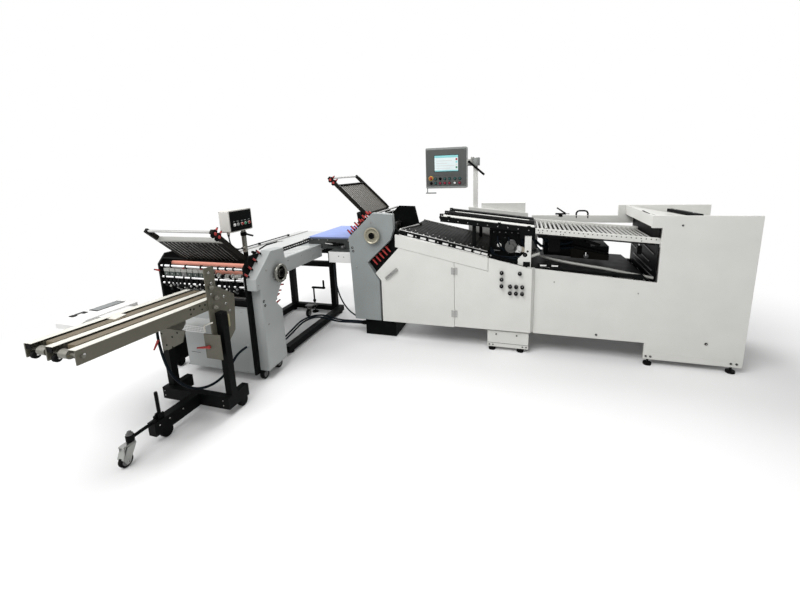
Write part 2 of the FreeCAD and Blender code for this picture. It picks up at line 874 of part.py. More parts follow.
def suctionHead():
    """Black housing between the register table and the stream board; it carries the suction wheel."""
    sole = " + tableRise"
    head = prism("HeadHousing", "XZ", "headFront", "headRear", [[
        ("headLeft", edgeAt("headLeft") + sole), ("headRight", edgeAt("headRight") + sole),
        ("headRight", boardAt("headRight") + " - boardThick"),
        ("headLeft", boardAt("headLeft") + " - boardThick")]])
    bore = rod("HeadBore", "Y", ("discX", "headFront", "discZ"), "6 * shaftRadius",
               "shaftRadius + runningFit")
    blower = prism("BlowerBox", "XZ", "blowerFront", "blowerRear", [[
        ("blowerLeft", "blowerBottom"), ("blowerRight", "blowerBottom"), ("blowerRight",
                                                                          "blowerBottom + blowerStep"),
        ("blowerMiddle", "blowerBottom + blowerStep"),
        ("blowerMiddle", bedAt("blowerMiddle") + " - bedHeight"),
        ("blowerLeft", bedAt("blowerLeft") + " - bedHeight")]])
    return gathered("suction_head", [cut("HeadBored", head, [bore]), blower])


def suctionWheel():
    """Steel disc on a stub shaft in the head's bore."""
    profile = [("0", "-shaftSeat"), ("shaftRadius", "-shaftSeat"), ("shaftRadius", "wheelGap"),
               ("discRadius", "wheelGap"), ("discRadius", "wheelGap + discThick"),
               ("discRadius * 0.55", "wheelGap + discThick"), ("discRadius * 0.5",
                                                               "wheelGap + discThick * 1.6"),
               ("0", "wheelGap + discThick * 1.6")]
    return turned("suction_wheel", "-Y", ("discX", "headFront", "discZ"), profile)


def streamBoard():
    """Black board that carries the sheets from the roller bed to the first fold unit, on two legs."""
    near = "boardFront"
    far = "boardRear"
    top = [("boardLeft", boardAt("boardLeft")), ("boardRight", "boardTopRight")]
    plate = prism("BoardPlate", "XZ", near, far, [top + [
        ("boardRight", "boardTopRight - stripThick"), ("boardLeft", boardAt("boardLeft") + " - stripThick")]])
    sides = [prism(f"BoardSide{index}", "XZ", low, high, [[
        ("boardLeft", boardAt("boardLeft") + " - stripThick"), ("boardRight", "boardTopRight - stripThick"),
        ("boardRight", "boardTopRight - boardThick"), ("boardLeft", boardAt("boardLeft") + " - boardThick")]])
        for index, (low, high) in enumerate(((near, f"{near} + boardLeg"), (f"{far} - boardLeg", far)))]
    left = "stripSeam - 5 * boardLeg"
    right = "stripSeam - 4 * boardLeg"
    legs = [prism(f"BoardLeg{index}", "XZ", low, high, [[
        (left, boardAt(left) + f" - {drop}"), (right, boardAt(right) + f" - {drop}"),
        (right, edgeAt(right) + " + tableRise"), (left, edgeAt(left) + " + tableRise")]])
        for index, (low, high, drop) in enumerate((
            (f"{near} + boardLeg", f"{near} + 2 * boardLeg", "stripThick"), (f"{far} - boardLeg", far,
                                                                             "boardThick")))]
    end = block("BoardEnd", ("boardRight - boardEnd", "boardRight"), (near, f"{near} + boardLeg"),
                ("boardTopRight - boardThick - boardEndDrop", "boardTopRight - boardThick / 2"))
    return fused("stream_board", [plate, end] + sides + legs)


def streamRails():
    """Two rails tied together under the rollers, on a cross beam between the panels at the feeder."""
    rails = []
    for index, (low, high) in enumerate((("boardFront", "boardFront + bedWall"),
                                         ("boardRear - bedWall", "boardRear"))):
        rails.append(prism(f"BedRail{index}", "XZ", low, high, [[
            ("boardRight", "bedTop"), ("bedRight", bedAt("bedRight")),
            ("bedRight", bedAt("bedRight") + " - bedHeight"), ("boardRight", "bedTop - bedHeight")]]))
    for index, x in enumerate(("boardRight", "blowerLeft", "blowerMiddle - bedWall",
                               "blowerRight + bedWall")):
        rails.append(prism(f"BedTie{index}", "XZ", "boardFront + bedWall", "boardRear - bedWall", [[
            (x, bedAt(x) + " - bedHeight"), (f"{x} + bedWall", bedAt(f"{x} + bedWall") + " - bedHeight"),
            (f"{x} + bedWall", bedAt(f"{x} + bedWall") + " - bedHeight + tieThick"),
            (x, bedAt(x) + " - bedHeight + tieThick")]]))
    rails.append(block("BedCross", ("bedRight - beamWidth", "bedRight"),
                       ("panelWall", "lineDepth - panelWall"),
                       (bedAt("bedRight") + " - bedHeight - beamHeight / 2",
                        bedAt("bedRight") + " - bedHeight / 2")))
    return fused("stream_rails", rails)


def streamRollers():
    rollers = []
    first = "boardRight + 2 * rollerRadius"
    pitch = f"(rollerEnd - 2 * rollerRadius - ({first})) / (rollerCount - 1)"
    for index in range(int(sizes["rollerCount"])):
        x = f"{first} + {index} * {pitch}"
        rollers.append(rod(f"StreamRoller{index}", "Y",
                           (x, "boardFront + bedWall", bedAt(x) + " - rollerDrop"),
                           "boardRear - boardFront - 2 * bedWall", "rollerRadius"))
    return gathered("stream_rollers", rollers)


def lowerConveyor():
    """Black belt board behind the low panel, its knee near the feeder, on legs to the frame."""
    near = "conveyorFront"
    far = "lineDepth - panelWall - conveyorFront"
    top = [("conveyorLeft", "conveyorTop"), ("conveyorKnee", "conveyorKneeTop"),
           ("conveyorRight", "conveyorEndTop")]
    under = [(x, f"{z} - conveyorThick") for x, z in reversed(top)]
    board = prism("ConveyorBoard", "XZ", near, far, [top + under])
    legs = []
    for index, (x, z) in enumerate(top[:2]):
        slope = "(conveyorTop - conveyorKneeTop) / (conveyorKnee - conveyorLeft)"
        for side, (low, high) in enumerate(((near, f"{near} + cheekWall"), (f"{far} - cheekWall", far))):
            legs.append(prism(f"ConveyorLeg{index}{side}", "XZ", low, high, [[
                (f"{x} - {index} * conveyorLeg", f"{z} - conveyorThick + {index} * conveyorLeg * {slope}"),
                (f"{x} + {1 - index} * conveyorLeg",
                 f"{z} - conveyorThick - {1 - index} * conveyorLeg * {slope}"),
                (f"{x} + {1 - index} * conveyorLeg", "panelBottom + beamHeight"),
                (f"{x} - {index} * conveyorLeg", "panelBottom + beamHeight")]]))
    return fused("lower_conveyor", [board] + legs)


def rearCabinet():
    """Sloping rear cover with the box that stands behind it."""
    rear = "lineDepth + cabinetThick - panelWall"
    cover = prism("CabinetCover", "XZ", "lineDepth - panelWall", rear, [[
        ("cabinetLeft", "panelBottom"), ("cabinetRight", "panelBottom"), ("cabinetRight", "cabinetTopRight"),
        ("cabinetLeft", "cabinetTopLeft")]])
    box = block("CabinetBox", ("boxLeft", "boxRight"), (rear, f"{rear} + boxDepth"), ("boxBottom", "boxTop"))
    return fused("rear_cabinet", [cover, box])


# Control mast and panel

def mast():
    rear = "lineDepth + cabinetThick - panelWall"
    tube = block("MastTube", ("mastX - mastSide / 2", "mastX + mastSide / 2"), (rear, f"{rear} + mastSide"),
                 ("mastBottom", "mastTop"))
    journal = rod("MastJournal", "Z", ("mastX", f"{rear} + mastSide / 2", "mastTop"),
                  "collarHeight + bodyGap",
                  "armRadius")
    return fused("mast", [tube, journal])


mastRear = "(lineDepth + cabinetThick - panelWall)"
mastAxisY = f"({mastRear} + mastSide / 2)"
consoleTop = "(mastTop + consoleRise)"
consoleBottom = "(mastTop - consoleDrop)"
stopZ = "(mastTop - stopBelow)"
leverPivotZ = "(mastTop + leverRise)"


def controlPanel():
    """Box with a sunk screen, on an arm whose collar turns on the mast's journal."""
    front = f"{mastAxisY} - armThick / 2"
    box = prism("ConsoleBox", "XZ", front, f"{front} + consoleDepth", [[
        ("consoleLeft", consoleBottom), ("consoleRight", consoleBottom), ("consoleRight", consoleTop),
        ("consoleLeft", consoleTop)]])
    rounded(box, "consoleRound", along(FreeCAD.Vector(0, 1, 0)))
    width = "(consoleRight - consoleLeft)"
    height = "(consoleRise + consoleDrop)"
    screen = block("ScreenRecess", (f"consoleLeft + 0.27 * {width}", f"consoleLeft + 0.80 * {width}"),
                   (front, f"{front} + screenDepth"),
                   (f"{consoleTop} - 0.62 * {height}", f"{consoleTop} - 0.15 * {height}"))
    bore = rod("StopBore", "Y", ("stopX", front, stopZ), "stopLength + stopTravel", "stopStem + runningFit")
    arm = block("ConsoleArm", ("consoleRight", "mastX"), (front, f"{front} + armThick"),
                ("mastTop + bodyGap", "mastTop + bodyGap + armWidth"))
    collar = rod("ConsoleCollar", "Z", ("mastX", mastAxisY, "mastTop + bodyGap"), "collarHeight",
                 "collarRadius")
    journal = rod("CollarBore", "Z", ("mastX", mastAxisY, "mastTop + bodyGap"), "collarHeight",
                  "armRadius + runningFit")
    grip = rod("ConsoleGrip", "X", ("consoleLeft - gripRadius", f"{front} + 2 * gripRadius",
                                    f"{consoleBottom} - gripDrop"), "gripLength", "gripRadius")
    hanger = block("ConsoleGripHanger", ("consoleLeft + gripRadius", "consoleLeft + 2 * gripRadius"),
                   (f"{front} + gripRadius", f"{front} + 3 * gripRadius"),
                   (f"{consoleBottom} - gripDrop", consoleBottom))
    stud = rod("LeverBore", "Y", ("leverPivotX", front, leverPivotZ), "studLength + bodyGap",
               "gripRadius + runningFit")
    solid = fused("ConsoleWhole", [box, arm, collar, grip, hanger])
    return cut("control_panel", solid, [screen, bore, journal, stud])


def slantedRod(label, run, start, length, radius):
    """A round bar from the start along a direction in space."""
    bar = doc.addObject("Part::Cylinder", label)
    bar.Placement = FreeCAD.Placement(FreeCAD.Vector(), FreeCAD.Rotation(FreeCAD.Vector(0, 0, 1), run))
    bind(bar, {"Radius": radius, "Height": length})
    return place(bar, *start)


def panelClampLever():
    """Long clamp handle in front of the arm, on a stud that screws into it."""
    front = f"({mastAxisY} - armThick / 2 - bodyGap)"
    turn = math.radians(sizes["clampLeverAngle"])
    centre = ("leverPivotX", f"{front} - clampLeverReach", leverPivotZ)
    hub = rod("ClampHub", "Y", ("leverPivotX", f"{front} - hubLength", leverPivotZ), "hubLength",
              "2 * gripRadius")
    stud = rod("ClampStud", "Y", ("leverPivotX", front, leverPivotZ), "studLength", "gripRadius")
    handle = slantedRod("ClampHandle", FreeCAD.Vector(math.cos(turn), 0, -math.sin(turn)), centre,
                        "leverLength", "clampLeverRadius")
    return fused("panel_clamp_lever", [hub, stud, handle])


def emergencyStop():
    front = f"{mastAxisY} - armThick / 2"
    profile = [("0", "-stopLength"), ("stopStem", "-stopLength"), ("stopStem", "stopTravel + stopNeck"),
               ("stopRadius", "stopTravel + stopNeck"), ("stopRadius", "stopTravel + stopRim"),
               ("stopRadius * 0.7", "stopTravel + stopDome"), ("0", "stopTravel + stopCrown")]
    return turned("emergency_stop", "-Y", ("stopX", front, stopZ), profile)


# First fold unit

def firstCoverOutline():
    return [("coverTopLeft", "unitTop"), ("coverTopRight", "unitTop - coverTopDrop"),
            ("coverRight", "coverNeck"),
            ("coverRecess", "coverRecessTop"), ("coverWaist", "coverWaistTop"),
            ("coverWaist + coverWaistRun", "coverWaistTop - coverWaistDrop"), ("coverFootRight", "coverKnee"),
            ("coverFootRight", "coverBottom"), ("coverFootLeft", "coverBottom"),
            ("coverLeft + coverHipInset", "coverShoulder - coverFlank"), ("coverLeft", "coverShoulder")]


def firstUnitCover():
    body = prism("first_unit_cover", "XZ", "unitFront", "unitFront + coverThick", [firstCoverOutline()],
                 [("wheelX", "wheelZ", "shaftRadius + runningFit")])
    return rounded(body, "coverRound", straightOn("Y", sizes["unitFront"]))


def firstUnitFrame():
    """Two black side plates, their ties and the seat of the fold plate, all on a closed plinth."""
    ear = [("seatEarLeft", "seatEarLow")] + [seatCorner(run, drop) for run, drop in (
        ("-seatLength", "seatThick"), ("-seatLength", "0"), ("0", "0"))] + [("seatEarRight", "seatEarHigh")]
    outline = [("coverLeft + plateInset", "coverShoulder")] + ear + [
        ("coverTopLeft", "unitTop - plateInset"), ("coverTopRight - plateInset",
                                                   "unitTop - 1.5 * plateInset"),
        ("coverRight + plateInset", "coverNeck"),
        ("doorSlantRight + plateInset", edgeAt("doorSlantRight") + " - stripHeight + plateInset"),
        ("doorSlantLeft - plateInset", "doorSlantRise - plateInset"),
        ("coverFootRight + plateInset", "coverKnee"), ("coverFootRight + plateInset", "panelBottom"),
        ("coverFootLeft", "panelBottom"), ("coverLeft + 1.5 * plateInset", "coverShoulder - coverFlank")]
    front = "(unitFront + coverThick)"
    bearing = [("wheelX", "wheelZ", "shaftRadius + runningFit")]
    plates = [prism("FirstSideFront", "XZ", front, f"{front} + sideWall", [outline], bearing),
              prism("FirstSideRear", "XZ", "unitRear - sideWall", "unitRear", [outline], bearing)]
    inner = (f"{front} + sideWall", "unitRear - sideWall")
    ties = [block("FirstTieLeft", ("coverLeft + plateInset", "coverLeft + plateInset + beamWidth"), inner,
                  ("transferTop - transferDrop", "transferTop - transferDrop + beamHeight")),
            block("FirstTieLow", ("coverFootLeft", "coverFootRight"), inner,
                  ("panelBottom", "panelBottom + beamHeight"))]
    recessed = (f"{inner[0]} + plateInset", f"{inner[1]} - plateInset")
    plinth = block("FirstPlinth", ("firstPlinthLeft", "firstPlinthRight"), recessed, ("0", "panelBottom"))
    glands = [gland(f"PlinthGland{index}", "X", ("firstPlinthLeft - glandLength", y, z))
              for index, (y, z) in enumerate((("hoseY", "hoseZ"), ("hoseY + hosePitch", "hoseZ"),
                                              ("cableY", "cableZ")))]
    return fused("first_unit_frame", plates + ties + [plateSeat(), plinth] + glands)


def gland(label, axis, start):
    """Cable gland, the piece a cord ends against."""
    return rod(label, axis, start, "glandLength", "glandRadius")


def seatCorner(run, drop):
    """A point of the fold plate's seat: its run along the plate from the foot and its drop below it."""
    across = "cos(plateAngle)"
    up = "sin(plateAngle)"
    return (f"plateFootX + ({run}) * {across} - (({drop}) + bodyGap) * {up}",
            f"plateFootZ - ({run}) * {up} - (({drop}) + bodyGap) * {across}")


def plateSeat():
    """Cross bar whose upper face lies under the fold plate."""
    corners = [seatCorner(run, drop) for run, drop in (
        ("0", "0"), ("-seatLength", "0"), ("-seatLength", "seatThick"), ("0", "seatThick"))]
    return prism("PlateSeat", "XZ", "unitFront + coverThick + sideWall", "unitRear - sideWall", [corners])


def handWheel(label, axis, centre):
    """Dished wheel with a round rim and a deep hub, from its rear face outward."""
    profile = [("0", "0"), ("hubRadius", "0"), ("hubRadius", "wheelWidth * 0.3"),
               ("wheelRadius * 0.72", "wheelWidth * 0.35"), ("wheelRadius * 0.8", "wheelWidth * 0.1"),
               ("wheelRadius * 0.9", "0"), ("wheelRadius",
                                            "wheelWidth * 0.3"), ("wheelRadius", "wheelWidth * 0.7"),
               ("wheelRadius * 0.9", "wheelWidth"), ("wheelRadius * 0.78", "wheelWidth * 0.85"),
               ("wheelRadius * 0.7", "wheelWidth * 0.6"), ("hubRadius", "wheelWidth * 0.6"),
               ("hubRadius * 0.9", "wheelWidth * 0.9"), ("hubRadius * 0.5", "wheelWidth * 0.9"),
               ("hubRadius * 0.45", "wheelWidth * 0.5"), ("0", "wheelWidth * 0.5")]
    return turned(label, axis, centre, profile)


def foldRoller(label, axis, centre, nearLength, bodyLength, farLength, bodyRadius):
    """Roller with a journal at each end; heights are measured from the near journal's end."""
    start = f"({nearLength})"
    end = f"({nearLength} + {bodyLength})"
    profile = [("0", "0"), ("shaftRadius", "0"), ("shaftRadius", start), (bodyRadius, start),
               (bodyRadius, end),
               ("shaftRadius", end), ("shaftRadius", f"{end} + {farLength}"), ("0", f"{end} + {farLength}")]
    return turned(label, axis, centre, profile)


def firstHandWheel():
    return handWheel("first_hand_wheel", "-Y", ("wheelX", "unitFront - wheelGap", "wheelZ"))


def firstRoller():
    near = "wheelGap + coverThick + sideWall + bodyGap"
    length = "(unitRear - unitFront - coverThick - 2 * sideWall - 2 * bodyGap)"
    return foldRoller("first_roller", "Y", ("wheelX", "unitFront - wheelGap", "wheelZ"), near, length,
                      "sideWall + bodyGap", "foldRollerRadius")


def foldPlate(label, length, width, swapped):
    """Fold plate lying flat: rails, thin bars between them and a stop rod past its end.
    It runs toward -X (toward -Y when swapped) and is turned up about its foot."""
    def flat(u, v):
        return (f"-({v})", u) if swapped else (u, v)

    def slab(name, u, v, z):
        first, second = ((f"-({v[1]})", f"-({v[0]})"), u) if swapped else (u, v)
        return block(label + name, first, second, z)
    rim = [flat("0", "0"), flat(f"-({length})", "0"), flat(f"-({length})", width), flat("0", width)]
    slots = []
    count = int(sizes["plateBars"])
    pitch = f"(({width}) - 2 * plateRail) / {count}"
    for index in range(count):
        low = f"plateRail + {index} * {pitch} + plateBar / 2"
        high = f"plateRail + {index + 1} * {pitch} - plateBar / 2"
        slots.append([flat("-plateRail", low), flat(f"plateRail - ({length})", low),
                      flat(f"plateRail - ({length})", high), flat("-plateRail", high)])
    grid = prism(label + "Grid", "XY", "0", "plateBarThick", [rim] + slots)
    pieces = [grid]
    for index, low in enumerate(("0", f"{width} - plateRail")):
        pieces.append(slab(f"Rail{index}", (f"-({length}) - plateRod", "0"), (low, f"{low} + plateRail"),
                           ("0", "plateThick")))
    rodEnd = flat(f"plateRail / 2 - ({length}) - plateRod", "0" if not swapped else width)
    pieces.append(rod(label + "Rod", "X" if swapped else "Y", rodEnd + ("plateThick / 2",), width,
                      "plateRail / 3"))
    plate = fused(label, pieces)
    axis = FreeCAD.Vector(-1, 0, 0) if swapped else FreeCAD.Vector(0, 1, 0)
    plate.Placement = FreeCAD.Placement(FreeCAD.Vector(), FreeCAD.Rotation(axis, 1))
    return plate


def firstFoldPlate():
    plate = foldPlate("first_fold_plate", "plateLength", "plateWidth", False)
    bind(plate, {"Placement.Rotation.Angle": "plateAngle"})
    return place(plate, "plateFootX", "plateFront", "plateFootZ")


def recessLever(index):
    """Clamp lever in the recess under the first cover: a pin in Y and a flat arm."""
    across = "cos(leverAngle)"
    up = "sin(leverAngle)"
    pivotX = f"(leverX + {index} * leverPitch * {across})"
    pivotZ = f"(leverZ + {index} * leverPitch * {up})"
    rear = "unitFront + coverThick - bodyGap"
    pin = rod(f"LeverPin{index}", "Y", (pivotX, f"{rear} - leverDepth", pivotZ), "leverDepth", "leverRadius")
    corners = []
    for run, side in (("0", "-leverRadius"), ("leverReach", "-leverRadius * 0.6"),
                      ("leverReach", "leverRadius * 0.6"), ("0", "leverRadius")):
        corners.append((f"{pivotX} + ({run}) * {up} + ({side}) * {across}",
                        f"{pivotZ} - ({run}) * {across} + ({side}) * {up}"))
    arm = prism(f"LeverArm{index}", "XZ", f"{rear} - leverDepth", f"{rear} - leverDepth + leverRadius",
                [corners])
    return fused(f"recess_lever_{index + 1}", [pin, arm])


# Transfer table

def transferTable():
    floor = "transferTop - transferDrop"
    right = "coverLeft + plateInset"
    walls = [block("TransferNear", ("transferLeft", right), ("transferFront", "transferFront + transferWall"),
                   (floor, "transferTop")),
             block("TransferFar", ("transferLeft", right), ("transferRear - transferWall", "transferRear"),
                   (floor, "transferTop")),
             block("TransferDeck", ("transferLeft", right), ("transferFront", "transferRear"),
                   (f"{floor} + transferWall", f"{floor} + 2 * transferWall")),
             block("TerminalBox", ("terminalLeft", "coverLeft - bodyGap"),
                   ("0", "transferFront + transferWall"),
                   (f"{floor} - terminalHeight", floor)),
             gland("TerminalGland", "Z", ("cableX", "cableY", f"{floor} - terminalHeight - glandLength"))]
    return fused("transfer_table", walls)


def transferBelts():
    floor = "transferTop - transferDrop + 2 * transferWall"
    return block("transfer_belts", ("transferLeft", "coverLeft + plateInset"),
                 ("transferFront + transferWall",
                  "transferRear - transferWall"), (floor, "transferTop + beltThick"))


# Second fold unit

def secondOutline():
    return [("secondFront", "secondBottom"), ("secondFront", "secondTop - sideFrontDrop"),
            ("secondFront + sideFrontRun", "secondTop - sideTopDrop"), ("secondRear - sideTopInset",
                                                                        "secondTop - sideTopDrop"),
            ("secondRear", "secondTop - sideRearDrop"), ("secondRear", "secondKnee + kneeUpper"),
            ("secondRear - kneeInset", "secondKnee + kneeStep"), ("secondRear - kneeReach", "secondKnee"),
            ("secondRear - kneeInset", "secondKnee - kneeStep"), ("secondRear - kneeInset", "secondBottom")]


def secondUnitCover():
    left = "secondRight - secondCover"
    outline = [("secondFront + skirtInset", "secondBottom + skirtFoot"),
               ("secondFront + skirtInset", "secondTop - lipLow"),
               ("secondFront + lipInset", "secondTop - lipLow"), ("secondFront + lipInset",
                                                                  "secondTop - lipHigh"),
               ("secondFront + crestRun", "secondTop + crestRise"), ("secondRear - crestInset",
                                                                     "secondTop - crestDrop"),
               ("secondRear - elbowInset", "secondKnee + elbowRise"), ("secondRear - hipInset",
                                                                       "secondKnee + hipRise"),
               ("secondRear - hollowInset", "secondKnee"), ("secondRear - calfInset",
                                                            "secondKnee - calfDrop"),
               ("secondRear - heelInset", "secondBottom + heelRise")]
    body = prism("second_unit_cover", "YZ", left, "secondRight", [outline],
                 [("secondWheelY", "secondWheelZ", "shaftRadius + runningFit")])
    return rounded(body, "coverRound", straightOn("X", sizes["secondRight"]))


def secondUnitFrame():
    """Two side plates, cross beams, tie bars and the four carrying wheels of the unit."""
    near = "(secondRight - secondCover)"
    bores = [("secondWheelY", "secondWheelZ", "shaftRadius + runningFit"),
             ("salmonY", "salmonUpperZ", "shaftRadius + runningFit"),
             ("salmonY", "salmonUpperZ - salmonPitch", "shaftRadius + runningFit")]
    pieces = [prism("SecondSideNear", "YZ", f"{near} - sideWall", near, [secondOutline()], bores),
              prism("SecondSideFar", "YZ", "secondFar", "secondFar + sideWall", [secondOutline()], bores)]
    inner = ("secondFar + sideWall", f"{near} - sideWall")
    for index, y in enumerate(("secondFront + secondBeamFront", "secondRear - secondBeamRear")):
        pieces.append(block(f"SecondBeam{index}", inner, (y, f"{y} + beamWidth"),
                            ("lowerCoverTop", "lowerCoverTop + beamHeight")))
    length = f"{near} - sideWall - secondFar - sideWall"
    for index, drop in enumerate(("tieTop", "tieMiddle", "tieLow")):
        pieces.append(rod(f"SecondTie{index}", "X", ("secondFar + sideWall", "secondFront + tieInset",
                                                     f"secondTop - {drop}"), length, "tieRadius"))
    for row, y in enumerate(("secondFront + secondWheelFront", "secondRear - secondWheelRear")):
        pieces.append(rod(f"SecondWheelNear{row}", "X", (near, y, "secondWheel"), "castorWidth",
                          "secondWheel"))
        pieces.append(rod(f"SecondWheelFar{row}", "X", ("secondFar - castorWidth", y, "secondWheel"),
                          "castorWidth", "secondWheel"))
        for side, x in enumerate((f"{near} - sideWall", "secondFar")):
            pieces.append(block(f"SecondWheelLug{row}{side}", (x, f"{x} + sideWall"),
                                (f"{y} - sideWall", f"{y} + sideWall"), ("secondWheel - sideWall",
                                                                         "secondBottom")))
    seat = secondPlateSeat(inner)
    return fused("second_unit_frame", pieces + [seat, postSocket()])


def secondPlateSeat(inner):
    across = "cos(secondPlateAngle)"
    up = "sin(secondPlateAngle)"
    footY = f"(secondPlateY - bodyGap * {up})"
    footZ = f"(secondPlateZ - bodyGap * {across})"
    corners = []
    for run, drop in (("0", "0"), ("seatLength / 2", "0"), ("seatLength / 2", "seatThick"),
                      ("0", "seatThick")):
        corners.append((f"{footY} - ({run}) * {across} - ({drop}) * {up}",
                        f"{footZ} + ({run}) * {up} - ({drop}) * {across}"))
    return prism("SecondPlateSeat", "YZ", inner[0], inner[1], [corners])


def secondUnitCovers():
    """Grey sheet box under the rollers, open below."""
    near = "secondRight - secondCover - sideWall"
    z = ("lowerCoverBottom", "lowerCoverTop")
    y = ("lowerCoverFront", "secondRear - secondCoverDepth")
    shell = block("LowerShell", ("lowerCoverLeft", near), y, z)
    hollow = block("LowerHollow", ("lowerCoverLeft + plinthWall", f"{near} - plinthWall"),
                   (f"{y[0]} + plinthWall", f"{y[1]} - plinthWall"), (z[0], f"{z[1]} - plinthWall"))
    glands = [gland(f"RearGland{index}", "Y", (x, y[1], "hoseEndZ"))
              for index, x in enumerate(("hoseEndX", "hoseEndX - hosePitch"))]
    glands.append(gland("FrontGland", "Y", ("deliveryCableX", f"{y[0]} - glandLength", "deliveryCableZ")))
    return fused("lower_covers", [cut("LowerSheets", shell, [hollow])] + glands)


def secondRoller(label, z):
    near = "(secondRight - secondCover)"
    length = f"({near} - secondFar - 2 * sideWall - 2 * bodyGap)"
    return foldRoller(label, "X", ("secondFar", "salmonY", z), "sideWall + bodyGap", length,
                      "sideWall + bodyGap",
                      "salmonRadius")


def upperRoller():
    return secondRoller("upper_roller", "salmonUpperZ")


def lowerRoller():
    return secondRoller("lower_roller", "salmonUpperZ - salmonPitch")


def secondHandWheel():
    wheel = handWheel("SecondWheelRim", "X", ("secondRight + wheelGap", "secondWheelY", "secondWheelZ"))
    shaft = rod("SecondWheelShaft", "X",
                ("secondRight - secondCover - sideWall", "secondWheelY", "secondWheelZ"),
                "wheelGap + secondCover + sideWall", "shaftRadius")
    return fused("second_hand_wheel", [wheel, shaft])


def secondFoldPlate():
    plate = foldPlate("second_fold_plate", "secondPlateLength", "secondPlateWidth", True)
    bind(plate, {"Placement.Rotation.Angle": "secondPlateAngle"})
    return place(plate, "secondPlateRight", "secondPlateY", "secondPlateZ")


def secondBoxPost():
    """Post of the second control box; its pin turns in the socket on the second unit's rear beam."""
    half = "boxPostSide / 2"
    post = block("BoxPostTube", (f"boxPostX - {half}", f"boxPostX + {half}"),
                 (f"boxPostY - {half}", f"boxPostY + {half}"), ("boxSocketTop + bodyGap", "secondBoxBottom"))
    pin = rod("BoxPostPin", "Z", ("boxPostX", "boxPostY", "boxSocketTop - boxPinLength"),
              "boxPinLength + boxPostSide", "boxPinRadius")
    port = gland("PostGland", "Y", ("boxPostX", f"boxPostY - {half} - glandLength", "boxCableLow"))
    return fused("control_post", [post, pin, port])


def postSocket():
    """Tube on the second unit's rear beam, bored for the post's pin."""
    half = "boxPostSide / 2"
    tube = block("PostSocket", (f"boxPostX - {half}", f"boxPostX + {half}"),
                 (f"boxPostY - {half}", f"boxPostY + {half}"), ("lowerCoverTop + stepIn", "boxSocketTop"))
    bore = rod("PostSocketBore", "Z", ("boxPostX", "boxPostY", "boxSocketTop - boxPinLength - 1"),
               "boxPinLength + 1", "boxPinRadius + runningFit")
    return cut("PostSocketBored", tube, [bore])


def secondControlBox():
    shell = prism("SecondBoxShell", "YZ", "secondBoxLeft", "secondBoxRight", [[
        ("secondBoxFront", "secondBoxBottom"), ("secondBoxRear", "secondBoxBottom"),
        ("secondBoxRear", "secondBoxTop"), ("secondBoxFront", "secondBoxTop")]])
    rounded(shell, "consoleRound", along(FreeCAD.Vector(1, 0, 0)))
    port = gland("BoxGland", "Z", ("boxPostX", "boxCableY", "secondBoxBottom - glandLength"))
    return fused("second_control_box", [shell, port])


# Infeed table of the second unit and its stand

def infeedTable():
    floor = "infeedTop - infeedDrop"
    step = "transferLeft - bodyGap"
    mouth = "transferFront - infeedGap"
    wall = "infeedWall"
    deck = prism("InfeedDeck", "XY", "infeedTop - infeedWall", "infeedTop", [[
        ("infeedLeft", "secondRear"), ("infeedRight", "secondRear"), ("infeedRight", mouth), (step, mouth),
        (step, "infeedRear"), ("infeedLeft", "infeedRear")]])
    z = (floor, "infeedTop")
    rails = [
        block("InfeedRailNear", (f"infeedRight - {wall}", "infeedRight"), ("secondRear", mouth), z),
        block("InfeedRailFar", ("infeedLeft", f"infeedLeft + {wall}"), ("secondRear", "infeedRear"), z),
        block("InfeedRailStep", (f"{step} - {wall}", step), (mouth, "infeedRear"), z),
        block("InfeedRailFront", ("infeedLeft", "infeedRight"), ("secondRear", f"secondRear + {wall}"), z),
        block("InfeedRailMouth", (f"{step} - {wall}", "infeedRight"), (f"{mouth} - {wall}", mouth), z),
        block("InfeedRailRear", ("infeedLeft", step), (f"infeedRear - {wall}", "infeedRear"), z),
    ]
    return fused("infeed_table", [deck] + rails)


def infeedStand():
    side = "tubeSide"
    top = "infeedTop - infeedDrop"
    runs = ("standFront", "standRear")
    pieces = []
    for name, x in (("Right", "standRight"), ("Left", "standLeft")):
        pieces.append(block(f"StandBeam{name}", (f"{x} - {side} / 2", f"{x} + {side} / 2"), runs,
                            ("padHeight", f"padHeight + {side}")))
        leg = "standLegRight" if name == "Right" else "standLeft"
        pieces.append(block(f"StandLeg{name}", (f"{leg} - {side} / 2", f"{leg} + {side} / 2"),
                            (f"standRear - {side}", "standRear"), ("padHeight", top)))
        for row, y in enumerate((f"standFront + {side}", f"standRear - {side}")):
            pieces.append(rod(f"StandFoot{name}{row}", "Z", (x, y, "0"), "padHeight", "padRadius"))
    inner = ("standLeft", "standRight + tubeSide / 2")
    for name, z, end in (("Low", "padHeight", inner),
                         ("Middle", "crossHeight", ("standLeft", "standLegRight")),
                         ("Top", f"{top} - {side}", ("infeedLeft", "standLegRight + tubeSide / 2"))):
        pieces.append(block(f"StandCross{name}", end, (f"standRear - {side} + stepIn", "standRear - stepIn"),
                            (z, f"{z} + {side}")))
    bracket = block("JackBracket", ("jackX - jackPlate", "jackX + jackPlate"),
                    (f"standRear - {side} - 2 * jackPlate", f"standRear - {side} + stepIn"),
                    (f"padHeight + {side} - jackPlateThick", f"padHeight + {side}"))
    whole = fused("StandWhole", pieces + [bracket])
    bore = rod("JackBore", "Z", ("jackX", "jackY", "padHeight"), side, "jackRadius + runningFit")
    return cut("infeed_stand", whole, [bore])


